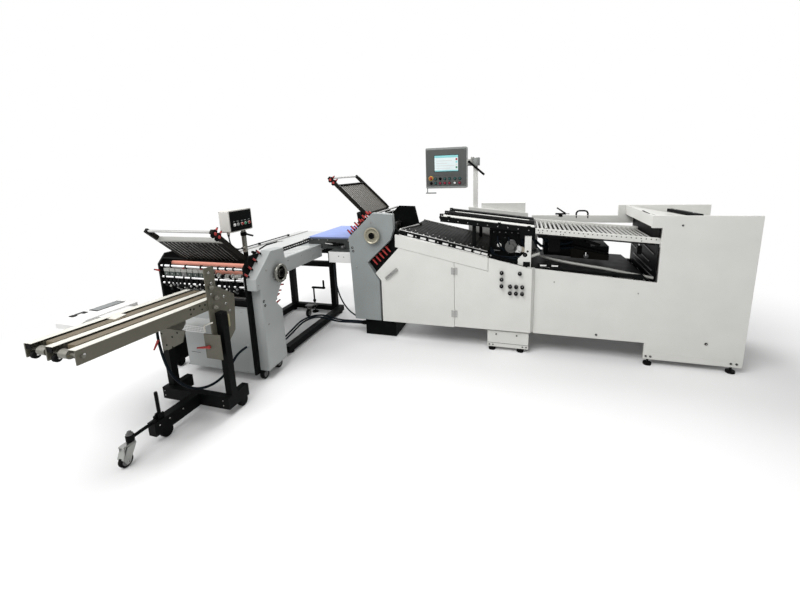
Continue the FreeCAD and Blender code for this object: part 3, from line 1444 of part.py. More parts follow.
def jackCrank():
    """Jack screw with its foot, crank arm and grip."""
    foot = rod("JackFoot", "Z", ("jackX", "jackY", "jackFootLift"), "jackFootThick", "jackFootRadius")
    screw = rod("JackScrew", "Z", ("jackX", "jackY", "jackFootThick"), "jackTop - jackFootThick",
                "jackRadius")
    arm = block("JackArm", ("jackX - 2 * jackRadius", "jackX + jackArm"),
                ("jackY - 1.5 * jackRadius", "jackY + 1.5 * jackRadius"), ("jackTop - jackRadius",
                                                                           "jackTop + jackRadius"))
    grip = rod("JackGrip", "Z", ("jackX + jackArm - 1.5 * jackRadius", "jackY", "jackTop"), "jackGrip",
               "jackRadius * 1.2")
    return fused("jack_crank", [foot, screw, arm, grip])


# Delivery table and its stand

def tilted(item):
    """Turns a piece that is drawn level about the table's pivot, so that its near end stands higher."""
    item.Placement = FreeCAD.Placement(FreeCAD.Vector(), FreeCAD.Rotation(FreeCAD.Vector(-1, 0, 0), 1))
    bind(item, {"Placement.Rotation.Angle": "deliveryTilt"})
    return place(item, "0", "deliveryPivot * (1 - cos(deliveryTilt)) - deliveryTop * sin(deliveryTilt)",
                 "deliveryTop * (1 - cos(deliveryTilt)) + deliveryPivot * sin(deliveryTilt)")


def deliveryRails():
    """Three channel rails on a base plate, bored for the roller's shaft."""
    floor = "deliveryTop - deliveryDrop"
    wall = "deliveryWall"
    long = ("deliveryNear", "deliveryFar")
    short = ("deliveryNear + deliveryMouth", "deliveryFar")
    pieces = [block("DeliveryBase", ("deliveryLeft", "deliveryRight"), short, (floor, f"{floor} + {wall}"))]
    for name, x in (("Left", "deliveryLeft"), ("Middle", "deliveryMiddle"),
                    ("Right", f"deliveryRight - {wall}")):
        pieces.append(block(f"DeliveryRail{name}", (x, f"{x} + {wall}"), long, (floor, "deliveryTop")))
    for name, low, high in (("Left", "deliveryLeft + deliveryWall", "deliveryLeft + deliveryShelf"),
                            ("Middle", "deliveryMiddle + deliveryWall", "deliveryMiddle + deliveryShelf"),
                            ("Right", "deliveryRight - deliveryShelf", "deliveryRight - deliveryWall")):
        pieces.append(block(f"DeliveryShelf{name}", (low, high), short, (floor, f"deliveryTop - {wall}")))
    bore = rod("RollerBore", "X", ("deliveryLeft", "rollerY", "rollerZ"), "deliveryRight - deliveryLeft",
               "rollerShaft + runningFit")
    return tilted(cut("DeliveryRails", fused("DeliveryRailsWhole", pieces), [bore]))


def deliveryTable():
    """The rails with the bracket plates that slide on the inner sides of the stand's legs."""
    floor = "deliveryTop - deliveryDrop"
    wall = "deliveryWall"
    half = "deliveryLegSide / 2"
    right = f"deliveryLegRight - {half} - bodyGap"
    left = f"deliveryLegLeft + {half} + bodyGap"
    tail = [("bracketRear - bracketTail", "apronTop - deliveryShelf"),
            ("bracketRear - 2 * bracketStep", "bracketBottom"),
            ("bracketFront", "bracketBottom")]
    tall = [("bracketFront", "bracketTop"), ("bracketFront + bracketStep", "bracketTop"),
            ("bracketFront + bracketStep", "bracketWaist"), ("bracketRear",
                                                             "bracketWaist - 2 * deliveryShelf"),
            ("bracketRear", floor)]
    low = [("bracketFront", floor), ("bracketRear", floor)]
    apron = [(left, "apronTop"), ("apronRight", "apronTop"),
             ("apronRight - apronStepRun", "apronTop - apronStepDrop"),
             ("apronRight - apronTaper", "bracketBottom + apronFoot"), (left, "bracketBottom + apronFoot")]
    pieces = [
        deliveryRails(),
        prism("BracketRight", "YZ", f"{right} - {wall}", right, [tall + tail]),
        prism("BracketLeft", "YZ", left, f"{left} + {wall}", [low + tail]),
        block("BracketBridge", ("bridgeLeft", "deliveryLeft + deliveryWall"), ("bracketFront", "bracketRear"),
              (floor, f"{floor} + {wall}")),
        prism("BracketApron", "XZ", "bracketFront", f"bracketFront + {wall}", [apron]),
        block("ClampPlateRight", (f"{right} - clampPlateInner", f"{right} + clampPlateOuter"),
              (f"bracketFront - {wall}", "bracketFront"),
              ("bracketBottom", "apronTop")),
        gland("DeliveryGland", "Z", ("deliveryCableLeft", "deliveryCableY", f"{floor} - glandLength")),
    ]
    return fused("delivery_table", pieces)


def beltPlaces():
    """Middles of the two gaps between the rails."""
    return ("(deliveryLeft + deliveryMiddle + deliveryShelf) / 2",
            "(deliveryMiddle + deliveryRight) / 2")


def deliveryBelts():
    """Two ribbed belts on their beds between the rails."""
    floor = "deliveryTop - deliveryDrop + deliveryWall"
    belts = [block(f"DeliveryBelt{index}", (f"{x} - belt / 2", f"{x} + belt / 2"),
                   ("deliveryNear + deliveryMouth", "deliveryFar"), (floor, "deliveryTop - 2"))
             for index, x in enumerate(beltPlaces())]
    return tilted(gathered("delivery_belts", belts))


def deliveryRoller():
    """Cross shaft at the near end with a wheel under each belt."""
    pieces = [rod("DeliveryShaft", "X", ("deliveryLeft - rollerOverhang", "rollerY", "rollerZ"),
                  "deliveryRight - deliveryLeft + 2 * rollerOverhang", "rollerShaft")]
    for index, x in enumerate(beltPlaces()):
        pieces.append(rod(f"DeliveryWheel{index}", "X", (f"{x} - belt / 2", "rollerY", "rollerZ"), "belt",
                          "beltRollerRadius"))
    return tilted(fused("delivery_roller", pieces))


def keypadBox():
    """Switch box beside the table, on a bracket from its left rail."""
    box = prism("KeypadShell", "YZ", "keypadLeft", "keypadRight", [[
        ("keypadFront", "keypadTop - keypadHeight"), ("keypadRear", "keypadTop - keypadHeight"),
        ("keypadRear", "keypadTop"), ("keypadFront + keypadSlope",
                                      "keypadTop"), ("keypadFront", "keypadTop - keypadLip")]])
    bracket = block("KeypadBracket", ("keypadRight", "deliveryLeft"),
                    ("keypadFront + keypadArmFront", "keypadRear - keypadArmRear"),
                    ("keypadTop - 2 * deliveryWall", "keypadTop - deliveryWall"))
    return fused("keypad_box", [box, bracket])


def deliveryStand():
    """Two legs on end beams, a cross beam, the T stem with its wheels and the outrigger's socket."""
    half = "deliveryLegSide / 2"
    z = ("baseBottom", "baseBottom + baseHeight")
    pieces = []
    for name, x, top in (("Right", "deliveryLegRight", "deliveryLegTop"),
                         ("Left", "deliveryLegLeft", "deliveryLegLow")):
        span = (f"{x} - {half}", f"{x} + {half}")
        pieces.append(block(f"DeliveryLeg{name}", span, (f"deliveryLegY - {half}", f"deliveryLegY + {half}"),
                            ("baseBottom", top)))
        pieces.append(block(f"EndBeam{name}", span, ("baseFront", "baseRear"), z))
        pieces.append(rod(f"RearWheel{name}", "X",
                          (f"{x} - castorWidth / 2", "baseRear - castorInset", "baseWheel"),
                          "castorWidth", "baseWheel"))
    pieces.append(block("CrossBeam", ("baseLeft", "deliveryLegRight"),
                        ("baseFront", "baseFront + deliveryLegSide"), z))
    pieces.append(block("StemBeam", ("stemX - stemWidth / 2", "stemX + stemWidth / 2"),
                        ("stemEnd", "baseFront"), z))
    pieces.append(rod("StemWheel", "X", ("stemX - castorWidth / 2", "stemEnd + 2 * castorInset", "baseWheel"),
                      "castorWidth", "baseWheel"))
    for side in (-1, 1):
        pieces.append(block(f"LeverEar{side + 1}",
                            (f"stemX + ({side}) * (pedalRadius + bodyGap) + ({min(side, 0)}) * earWall",
                             f"stemX + ({side}) * (pedalRadius + bodyGap) + ({max(side, 0)}) * earWall"),
                            ("pedalY - 2 * pedalRadius", "pedalY + 2 * pedalRadius"),
                            (z[1], f"{z[1]} + 4 * pedalRadius")))
    pieces.append(outrigger())
    bores = [rod("LeverPivotBore", "X", ("stemX - earSpan / 2", "pedalY", "pedalZ"), "earSpan",
                 "pedalRadius / 2 + runningFit"),
             rod("SocketBore", "Z", ("outriggerX", "outriggerY", "socketBottom"), "socketHeight",
                 "spindleRadius + runningFit")]
    return cut("delivery_stand", fused("DeliveryStandWhole", pieces), bores)


def outrigger():
    """Bar let into the stem's top, with the front castor's socket at its end."""
    start = "stemEnd + castorInset / 2"
    arm = rod("OutriggerRod", "-Y", ("stemX", start, "baseBottom + baseHeight"), f"{start} - outriggerY",
              "outriggerRadius")
    socket = rod("OutriggerSocket", "Z", ("outriggerX", "outriggerY", "socketBottom"), "socketHeight",
                 "spindleRadius * 2.2")
    return fused("Outrigger", [arm, socket])


def castorFork():
    """Swivel fork: pin, crown and two cheeks with the axle between them."""
    wheelY = "outriggerY - swivelOffset"
    pin = rod("ForkPin", "Z", ("outriggerX", "outriggerY", "forkTop"),
              "socketBottom + socketHeight - forkTop + forkPinOver",
              "spindleRadius")
    crown = block("ForkCrown", ("outriggerX - frontWheelWidth / 2 - forkWall - wheelSide",
                                "outriggerX + frontWheelWidth / 2 + forkWall + wheelSide"),
                  (f"{wheelY} - forkFront", "outriggerY + forkRear"), ("forkTop - forkWall", "forkTop"))
    cheeks = []
    for side in (-1, 1):
        inner = f"outriggerX + ({side}) * (frontWheelWidth / 2 + wheelSide)"
        low, high = (f"{inner} - forkWall", inner) if side < 0 else (inner, f"{inner} + forkWall")
        cheeks.append(prism(f"ForkCheek{side + 1}", "YZ", low, high, [[
            (f"{wheelY} - forkFront", "frontWheelRadius - forkHeel"), (f"{wheelY} + forkTaper",
                                                                       "frontWheelRadius - forkHeel"),
            ("outriggerY + forkRear", "forkTop - forkWall"), (f"{wheelY} - forkFront",
                                                              "forkTop - forkWall")]]))
    axle = rod("ForkAxle", "X", ("outriggerX - frontWheelWidth / 2 - wheelSide", wheelY, "frontWheelRadius"),
               "frontWheelWidth + 2 * wheelSide", "axleRadius")
    return fused("castor_fork", [pin, crown, axle] + cheeks)


def castorWheel():
    half = "(frontWheelWidth / 2)"
    rim = "frontWheelRadius"
    profile = [("axleRadius + runningFit", f"-{half}"), (f"{rim} - 5", f"-{half}"), (rim, f"3 - {half}"),
               (rim, f"{half} - 3"), (f"{rim} - 5", half), ("axleRadius + runningFit", half)]
    return turned("castor_wheel", "X", ("outriggerX", "outriggerY - swivelOffset", rim), profile)


def baseLever():
    pivot = rod("LeverPivot", "X", ("stemX - earSpan / 2", "pedalY", "pedalZ"), "earSpan", "pedalRadius / 2")
    stick = rod("LeverStick", "Z", ("stemX", "pedalY", "pedalZ - pedalRadius"), "pedalLength", "pedalRadius")
    return fused("base_lever", [pivot, stick])


# Cords: straight runs joined by tangent arcs

def cord(label, points, radius):
    """A round tube along the route; prints the smallest arc and the volume's error."""
    corners = [FreeCAD.Vector(*point) for point in points]
    edges = []
    start = corners[0]
    tightest = float("inf")
    for before, corner, after in zip(corners, corners[1:], corners[2:]):
        back = before - corner
        ahead = after - corner
        shorter = min(back.Length, ahead.Length)
        turn = math.pi - back.getAngle(ahead)
        reach = 0.45 * shorter
        arcRadius = reach / math.tan(turn / 2)
        tightest = min(tightest, arcRadius)
        entry = corner + back.normalize() * reach
        leave = corner + ahead.normalize() * reach
        middle = (back + ahead).normalize() * (arcRadius / math.cos(turn / 2) - arcRadius)
        edges.append(Part.LineSegment(start, entry).toShape())
        edges.append(Part.Arc(entry, corner + middle, leave).toShape())
        start = leave
    edges.append(Part.LineSegment(start, corners[-1]).toShape())
    path = Part.Wire(edges)
    profile = Part.Wire([Part.Circle(corners[0], corners[1] - corners[0], radius).toShape()])
    tube = path.makePipeShell([profile], True, False)
    expected = math.pi * radius ** 2 * path.Length
    print(f"{label}: length {path.Length:.0f}, smallest arc {tightest:.0f}, radius {radius}, "
          f"volume error {tube.Volume / expected - 1:.5f}")
    feature = doc.addObject("Part::Feature", label)
    feature.Shape = tube
    return feature


def cords():
    """Two floor hoses, the transfer cable, the delivery cable and the second control box's cable."""
    value = sizes.get
    reach = value("glandLength")
    plinth = value("firstPlinthLeft") - reach
    rear = value("secondRear") - value("secondCoverDepth") + reach
    front = value("lowerCoverFront") - reach
    made = []
    for index, (shift, lift) in enumerate(((0, 0), (value("hosePitch"), 6))):
        y = value("hoseY") + shift
        x = value("hoseEndX") - shift
        made.append(cord(f"floor_hose_{index + 1}", [
            (plinth, y, value("hoseZ")),
            (-1610, y, value("hoseZ")), (-1790, y + 6, 86), (-1932, y + 3, 118 + lift),
            (-2050, y - 8, 124 + lift), (x - 10, y - 82, 92), (x - 26, y - 242, 46), (x - 12, y - 425, 30),
            (x - 2, -535, 70), (x, -635, value("hoseEndZ")), (x, rear, value("hoseEndZ"))],
            value("hoseRadius")))
    floor = value("transferTop") - value("transferDrop") - value("terminalHeight") - reach
    made.append(cord("transfer_cable", [
        (value("cableX"), value("cableY"), floor),
        (value("cableX"), value("cableY"), 620), (-1796, 85, 485), (-1758, 86, 335), (-1690, 86, 226),
        (-1605, 84, 164), (-1538, value("cableY"), value("cableZ")),
        (plinth, value("cableY"), value("cableZ"))], value("transferCableRadius")))
    base = value("deliveryTop") - value("deliveryDrop") - reach
    left = value("deliveryCableLeft")
    y = value("deliveryCableY")
    right = value("deliveryCableX")
    made.append(cord("delivery_cable", [
        (left, y, base),
        (left, y, 630), (-2386, -1420, 500), (-2340, -1438, 372), (-2296, -1442, 279), (-2228, -1440, 212),
        (-2150, -1434, 182), (-2078, -1412, 174), (-2030, -1352, 178), (-2008, -1270, 200),
        (-2004, -1190, 250), (right, -1110, value("deliveryCableZ")),
        (right, front, value("deliveryCableZ"))], value("deliveryCableRadius")))
    post = value("boxPostY") - value("boxPostSide") / 2 - reach
    made.append(cord("control_box_cable", [
        (value("boxPostX"), value("boxCableY"), value("secondBoxBottom") - reach),
        (value("boxPostX"), value("boxCableY"), 1104), (-2145, -888, 1060), (-2145, -852, 1034),
        (value("boxPostX"), -808, value("boxCableLow")),
        (value("boxPostX"), post, value("boxCableLow"))], value("boxCableRadius")))
    return made


def build():
    for make in (frontPanel, rearPanel, feederHood, lineFrame, mainPlinth, floorPads, registerPanel,
                 registerStrip, accessDoor, doorLatch, adjustingKnobs, registerTable, suctionHead,
                 suctionWheel, streamBoard, streamRails, streamRollers, lowerConveyor, rearCabinet, mast,
                 controlPanel, panelClampLever, emergencyStop, firstUnitCover, firstUnitFrame,
                 firstHandWheel, firstRoller, firstFoldPlate, transferTable, transferBelts,
                 secondUnitCover, secondUnitFrame, secondUnitCovers, upperRoller, lowerRoller,
                 secondHandWheel, secondFoldPlate, secondBoxPost, secondControlBox, infeedTable,
                 infeedStand, jackCrank, deliveryTable, deliveryBelts, deliveryRoller, keypadBox,
                 deliveryStand, castorFork, castorWheel, baseLever):
        nodes.append(make())
    for index in range(int(sizes["leverCount"])):
        nodes.append(recessLever(index))
    nodes.extend(cords())


def faults():
    doc.recompute()
    found = []
    for item in doc.Objects:
        if "Invalid" in item.State or "Error" in item.State:
            found.append(f"{item.Label}: {item.State}")
    for item in nodes:
        if item.Shape.isNull() or not item.Shape.isValid() or not item.Shape.Solids:
            found.append(f"{item.Label}: shape is null, open or not valid")
    return found


build()
problems = faults()
if problems:
    raise RuntimeError("\n".join(problems))
os.makedirs("parts", exist_ok=True)
for item in nodes:
    item.Shape.exportStep(os.path.join("parts", item.Label + ".step"))
    box = item.Shape.BoundBox
    print(f"{item.Label:20s} solids {len(item.Shape.Solids):2d}  x {box.XMin:7.0f} {box.XMax:7.0f}  "
          f"y {box.YMin:7.0f} {box.YMax:7.0f}  z {box.ZMin:6.0f} {box.ZMax:6.0f}")
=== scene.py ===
import bpy
import bmesh
import math
import random
from mathutils import Matrix, Vector


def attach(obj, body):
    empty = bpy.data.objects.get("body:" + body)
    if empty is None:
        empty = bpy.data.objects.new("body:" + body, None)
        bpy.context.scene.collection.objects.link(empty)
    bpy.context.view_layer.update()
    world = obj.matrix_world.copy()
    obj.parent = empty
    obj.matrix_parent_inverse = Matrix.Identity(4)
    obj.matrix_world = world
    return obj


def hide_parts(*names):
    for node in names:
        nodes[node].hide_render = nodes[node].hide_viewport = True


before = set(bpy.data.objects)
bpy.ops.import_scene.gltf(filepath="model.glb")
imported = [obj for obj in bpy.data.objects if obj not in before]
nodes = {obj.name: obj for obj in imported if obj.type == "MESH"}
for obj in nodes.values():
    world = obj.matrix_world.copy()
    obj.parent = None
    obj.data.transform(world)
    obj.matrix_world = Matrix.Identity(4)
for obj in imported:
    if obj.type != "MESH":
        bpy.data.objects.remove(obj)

print("Folding machine: frame loaded")
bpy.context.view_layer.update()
random.seed(11)
milli = 0.001  # everything below is in millimetres, light and camera lens apart

# camera, light and floor

viewpoint = {
    "eye": (0, -3250, 1600),
    "right": (0.954423, 0.296496, -0.034172),
    "up": (-0.026532, 0.198328, 0.979777),
    "lens": 17.19,
    "sensor": 36,
    "shiftX": -0.005,
    "shiftY": -0.0675,
    "reach": 100,  # metres
}
studio = {
    "sky": 0.44,
    "key": ((-2000, -3400, 5400), 4.0, 262),  # place, size in metres, power
    "fill": ((-6200, -3600, 3000), 4.0, 70),
    "back": ((-1200, 2800, 4800), 3.2, 190),
    "aim": (-700, -200, 700),
    "floorSize": 60,  # metres
    "floorTone": 0.84,
    "floorGlow": 0.03,
    "floorBounce": 0.75,
    "floorDrop": 0.5,
    "fadeCentre": (-700, -500, 0),
    "fadeStart": 2700,
    "fadeEnd": 4600,
}


def metres(place):
    return Vector(place) * milli


def grey(tone):
    return (tone, tone, tone, 1)


def link(name, data):
    item = bpy.data.objects.new(name, data)
    bpy.context.scene.collection.objects.link(item)
    return item


def setCamera():
    data = bpy.data.cameras.new("viewCamera")
    data.sensor_fit = "HORIZONTAL"
    data.sensor_width = viewpoint["sensor"]
    data.lens = viewpoint["lens"]
    data.shift_x = viewpoint["shiftX"]
    data.shift_y = viewpoint["shiftY"]
    data.clip_end = viewpoint["reach"]
    right = Vector(viewpoint["right"]).normalized()
    up = Vector(viewpoint["up"])
    up = (up - right * up.dot(right)).normalized()
    turn = Matrix((right, up, right.cross(up))).transposed().to_4x4()
    camera = link("viewCamera", data)
    camera.matrix_world = Matrix.Translation(metres(viewpoint["eye"])) @ turn
    bpy.context.scene.camera = camera


def areaLight(name, place, size, power):
    data = bpy.data.lights.new(name, "AREA")
    data.shape = "DISK"
    data.size = size
    data.energy = power
    lamp = link(name, data)
    lamp.location = metres(place)
    lamp.rotation_euler = (metres(studio["aim"]) - lamp.location).to_track_quat("-Z", "Y").to_euler()


def addNode(tree, kind, inputs, **settings):
    # inputs by socket: another node's output is linked, anything else is the socket's own value
    node = tree.nodes.new("ShaderNode" + kind)
    for name, value in settings.items():
        setattr(node, name, value)
    for socket, value in inputs.items():
        if isinstance(value, bpy.types.NodeSocket):
            tree.links.new(value, node.inputs[socket])
        else:
            node.inputs[socket].default_value = value
    return node


def seenShare(tree):
    # 1 for what is seen straight, in a reflection or through glass, 0 for the light that falls on the machine
    rays = addNode(tree, "LightPath", {}).outputs
    share = rays["Is Camera Ray"]
    for kind in ("Is Transmission Ray", "Is Glossy Ray"):
        share = addNode(tree, "Math", {0: share, 1: rays[kind]}, operation="MAXIMUM").outputs[0]
    return share


def mixed(tree, share, first, second):
    return addNode(tree, "MixShader", {"Fac": share, 1: first.outputs[0], 2: second.outputs[0]})


def setStudio():
    for part in ("key", "fill", "back"):
        areaLight(part + "Light", *studio[part])
    world = bpy.data.worlds.new("studioSky")
    bpy.context.scene.world = world
    world.use_nodes = True
    tree = world.node_tree
    tree.nodes.clear()
    lit = addNode(tree, "Background", {"Color": grey(1), "Strength": studio["sky"]})
    white = addNode(tree, "Background", {"Color": grey(1)})
    addNode(tree, "OutputWorld", {"Surface": mixed(tree, seenShare(tree), lit, white).outputs[0]})


def floorFade(tree):
    # 0 round the machine, 1 far out, where the floor turns into the white backdrop
    place = addNode(tree, "TexCoord", {}).outputs["Object"]
    apart = addNode(tree, "VectorMath", {0: place, 1: metres(studio["fadeCentre"])}, operation="DISTANCE")
    fade = addNode(tree, "MapRange",
                   {"Value": apart.outputs["Value"], "From Min": studio["fadeStart"] * milli,
                    "From Max": studio["fadeEnd"] * milli}, interpolation_type="SMOOTHSTEP")
    return fade.outputs["Result"]


def layFloor():
    material = bpy.data.materials.new("studioFloor")
    material.use_nodes = True
    tree = material.node_tree
    tree.nodes.clear()
    lit = addNode(tree, "BsdfDiffuse", {"Color": grey(studio["floorTone"])})
    glow = addNode(tree, "Emission", {"Strength": studio["floorGlow"]})
    both = addNode(tree, "AddShader", {0: lit.outputs[0], 1: glow.outputs[0]})
    plain = addNode(tree, "BsdfDiffuse", {"Color": grey(studio["floorBounce"])})
    seen = mixed(tree, floorFade(tree), both, addNode(tree, "Emission", {}))
    addNode(tree, "OutputMaterial", {"Surface": mixed(tree, seenShare(tree), plain, seen).outputs[0]})
    half = studio["floorSize"] / 2
    mesh = bpy.data.meshes.new("studioFloor")
    mesh.from_pydata([(-half, -half, 0), (half, -half, 0), (half, half, 0), (-half, half, 0)], [],
                     [(0, 1, 2, 3)])
    mesh.materials.append(material)
    floor = link("studioFloor", mesh)
    floor.location.z = -studio["floorDrop"] * milli


setCamera()
setStudio()
layFloor()
bpy.context.scene.view_settings.view_transform = "Standard"
print("Folding machine: camera, lights and floor set")

# finishes

finishes = {
    # colour, roughness, metallic, mottle, grain size in mm, bump height in mm
    "panelWhite": ((0.66, 0.66, 0.63), 0.38, 0.0, 0.03, 1.6, 0.035),
    "panelBlack": ((0.0042, 0.0046, 0.0046), 0.45, 0.0, 0.25, 1.2, 0.04),
    "coverGrey": ((0.25, 0.272, 0.27), 0.34, 0.0, 0.04, 1.4, 0.03),
    "coverSilver": ((0.36, 0.38, 0.375), 0.30, 0.0, 0.04, 1.4, 0.03),
    "railOlive": ((0.105, 0.10, 0.075), 0.42, 0.25, 0.10, 2.2, 0.05),
    "bracketOlive": ((0.15, 0.135, 0.085), 0.42, 0.15, 0.10, 2.2, 0.05),
    "trayCream": ((0.62, 0.61, 0.55), 0.40, 0.0, 0.05, 2.0, 0.04),
    "boxWhite": ((0.70, 0.70, 0.69), 0.36, 0.0, 0.03, 1.6, 0.03),
    "deckLight": ((0.56, 0.57, 0.56), 0.30, 0.35, 0.05, 3.0, 0.03),
    "consoleGrey": ((0.26, 0.275, 0.265), 0.42, 0.0, 0.05, 1.2, 0.04),
    "steelBrushed": ((0.40, 0.40, 0.39), 0.28, 1.0, 0.12, 0.8, 0.02),
    "chromeBright": ((0.58, 0.58, 0.58), 0.12, 1.0, 0.05, 6.0, 0.005),
    "wheelBronze": ((0.33, 0.31, 0.24), 0.30, 0.55, 0.08, 1.6, 0.03),
    "plasticBlack": ((0.0045, 0.0045, 0.0045), 0.36, 0.0, 0.3, 0.8, 0.03),
    "plasticRed": ((0.36, 0.030, 0.026), 0.34, 0.0, 0.10, 1.0, 0.02),
    "rubberSalmon": ((0.74, 0.30, 0.22), 0.55, 0.0, 0.08, 2.5, 0.03),
    "rubberBlack": ((0.007, 0.007, 0.007), 0.62, 0.0, 0.3, 1.5, 0.05),
    "beltBlue": ((0.24, 0.31, 0.62), 0.55, 0.0, 0.06, 1.2, 0.06),
    "hoseBlack": ((0.007, 0.011, 0.015), 0.40, 0.0, 0.25, 1.8, 0.04),
    "plateBar": ((0.082, 0.075, 0.062), 0.40, 0.0, 0.04, 4.0, 0.0),
    "screenGlass": ((0.80, 0.90, 0.91), 0.16, 0.0, 0.05, 60.0, 0.0),
    "beige": ((0.55, 0.50, 0.40), 0.45, 0.0, 0.06, 2.0, 0.03),
    "trunkGrey": ((0.33, 0.33, 0.31), 0.42, 0.1, 0.08, 1.5, 0.03),
    "consoleDark": ((0.075, 0.080, 0.076), 0.46, 0.0, 0.06, 1.2, 0.04),
    "screenCyan": ((0.30, 0.70, 0.72), 0.16, 0.0, 0.05, 60.0, 0.0),
    "plateDark": ((0.013, 0.012, 0.010), 0.42, 0.0, 0.10, 4.0, 0.0),
    "rollerDark": ((0.50, 0.50, 0.48), 0.22, 0.9, 0.06, 1.0, 0.01),
    "buttonPlum": ((0.27, 0.016, 0.045), 0.28, 0.0, 0.08, 1.0, 0.02),
    "buttonTeal": ((0.02, 0.09, 0.085), 0.28, 0.0, 0.08, 1.0, 0.02),
    "beltSeam": ((0.10, 0.13, 0.30), 0.6, 0.0, 0.1, 1.5, 0.02),
    "ribBrown": ((0.011, 0.010, 0.008), 0.46, 0.0, 0.08, 4.0, 0.0),
    # painted highlight: near-white for the strip that stands in for the light caught on the register panel's
    # top edge
    "edgeWhite": ((0.86, 0.86, 0.85), 0.36, 0.0, 0.02, 4.0, 0.0),
    "wheelSteel": ((0.17, 0.168, 0.15), 0.26, 0.7, 0.10, 1.6, 0.02),
    "boxBeige": ((0.60, 0.585, 0.55), 0.38, 0.0, 0.04, 2.0, 0.03),
    "discGrey": ((0.085, 0.085, 0.080), 0.34, 0.25, 0.10, 1.2, 0.02),
    "endSteel": ((0.16, 0.155, 0.13), 0.36, 0.35, 0.08, 2.0, 0.02),
    "postSteel": ((0.40, 0.39, 0.35), 0.24, 0.6, 0.06, 2.0, 0.01),
    "seamGrey": ((0.20, 0.21, 0.21), 0.5, 0.0, 0.08, 1.5, 0.02),
    "clampGreen": ((0.035, 0.050, 0.042), 0.4, 0.0, 0.15, 1.5, 0.03),
    "castorGrey": ((0.12, 0.12, 0.12), 0.42, 0.2, 0.15, 1.5, 0.03),
    "castorLight": ((0.36, 0.37, 0.35), 0.42, 0.25, 0.12, 2.0, 0.05),
    "khaki": ((0.36, 0.33, 0.20), 0.45, 0.1, 0.08, 2.0, 0.04),
    "buttonGreen": ((0.03, 0.22, 0.11), 0.28, 0.0, 0.1, 1.0, 0.02),
    "signYellow": ((0.70, 0.42, 0.05), 0.35, 0.0, 0.06, 1.0, 0.02),
    "plateGrey": ((0.055, 0.060, 0.058), 0.36, 0.2, 0.08, 1.4, 0.03),
}
# share mirrored; a finish below darkest counts as black
sheen = {"black": 0.04, "plain": 0.4, "darkest": 0.03}
grainScale = {"mottle": 4.5, "handled": 14, "ribs": 30}
ribbed = {"low": (0.055, 0.041, 0.025), "high": (0.185, 0.148, 0.092), "pitch": 7.0, "height": 0.8,
          "wander": 0.4}
bumpStrength = 0.6


def newMaterial(name):
    material = bpy.data.materials.new(name)
    material.use_nodes = True
    tree = material.node_tree
    return material, tree, tree.nodes["Principled BSDF"], addNode(tree, "TexCoord", {}).outputs["Object"]


def noise(tree, place, scale, detail=3):
    return addNode(tree, "TexNoise", {"Scale": scale, "Detail": detail, "Vector": place}).outputs["Fac"]


def ramp(tree, factor, low, high, start=0.3, end=0.7):
    node = addNode(tree, "ValToRGB", {"Fac": factor})
    for element, place, colour in zip(node.color_ramp.elements, (start, end), (low, high)):
        element.position = place
        element.color = tuple(colour) + (1,)
    return node.outputs["Color"]


def span(tree, factor, low, high):
    return addNode(tree, "MapRange", {"Value": factor, "To Min": low, "To Max": high}).outputs["Result"]


def bump(tree, shader, factor, height):
    node = addNode(tree, "Bump", {"Strength": bumpStrength, "Distance": height * milli, "Height": factor})
    tree.links.new(node.outputs["Normal"], shader.inputs["Normal"])


def makeFinish(name, colour, roughness, metallic, mottle, grain, height):
    material, tree, shader, place = newMaterial(name)
    tone = "black" if max(colour) < sheen["darkest"] else "plain"
    shader.inputs["Specular IOR Level"].default_value = sheen[tone]
    shader.inputs["Metallic"].default_value = metallic
    low, high = ([min(1, part * (1 + change)) for part in colour] for change in (-mottle, mottle))
    mottled = noise(tree, place, grainScale["mottle"], 5)
    tree.links.new(ramp(tree, mottled, low, high), shader.inputs["Base Color"])
    handled = noise(tree, place, grainScale["handled"], 6)
    tree.links.new(span(tree, handled, roughness * 0.8, min(1, roughness * 1.25)), shader.inputs["Roughness"])
    if height:
        bump(tree, shader, noise(tree, place, 1000 / grain, 2), height)
    return material


def makeRibbed():
    material, tree, shader, place = newMaterial("beltRibbed")
    wave = addNode(tree, "TexWave", {"Scale": 1000 / ribbed["pitch"] / 3.2, "Distortion": ribbed["wander"],
                                     "Vector": place}, bands_direction="Y").outputs["Fac"]
    tree.links.new(ramp(tree, wave, ribbed["low"], ribbed["high"], 0.2, 0.8), shader.inputs["Base Color"])
    rough = noise(tree, place, grainScale["ribs"])
    tree.links.new(span(tree, rough, 0.45, 0.65), shader.inputs["Roughness"])
    bump(tree, shader, wave, ribbed["height"])
    return material


paint = {name: makeFinish(name, *values) for name, values in finishes.items()}
paint["beltRibbed"] = makeRibbed()

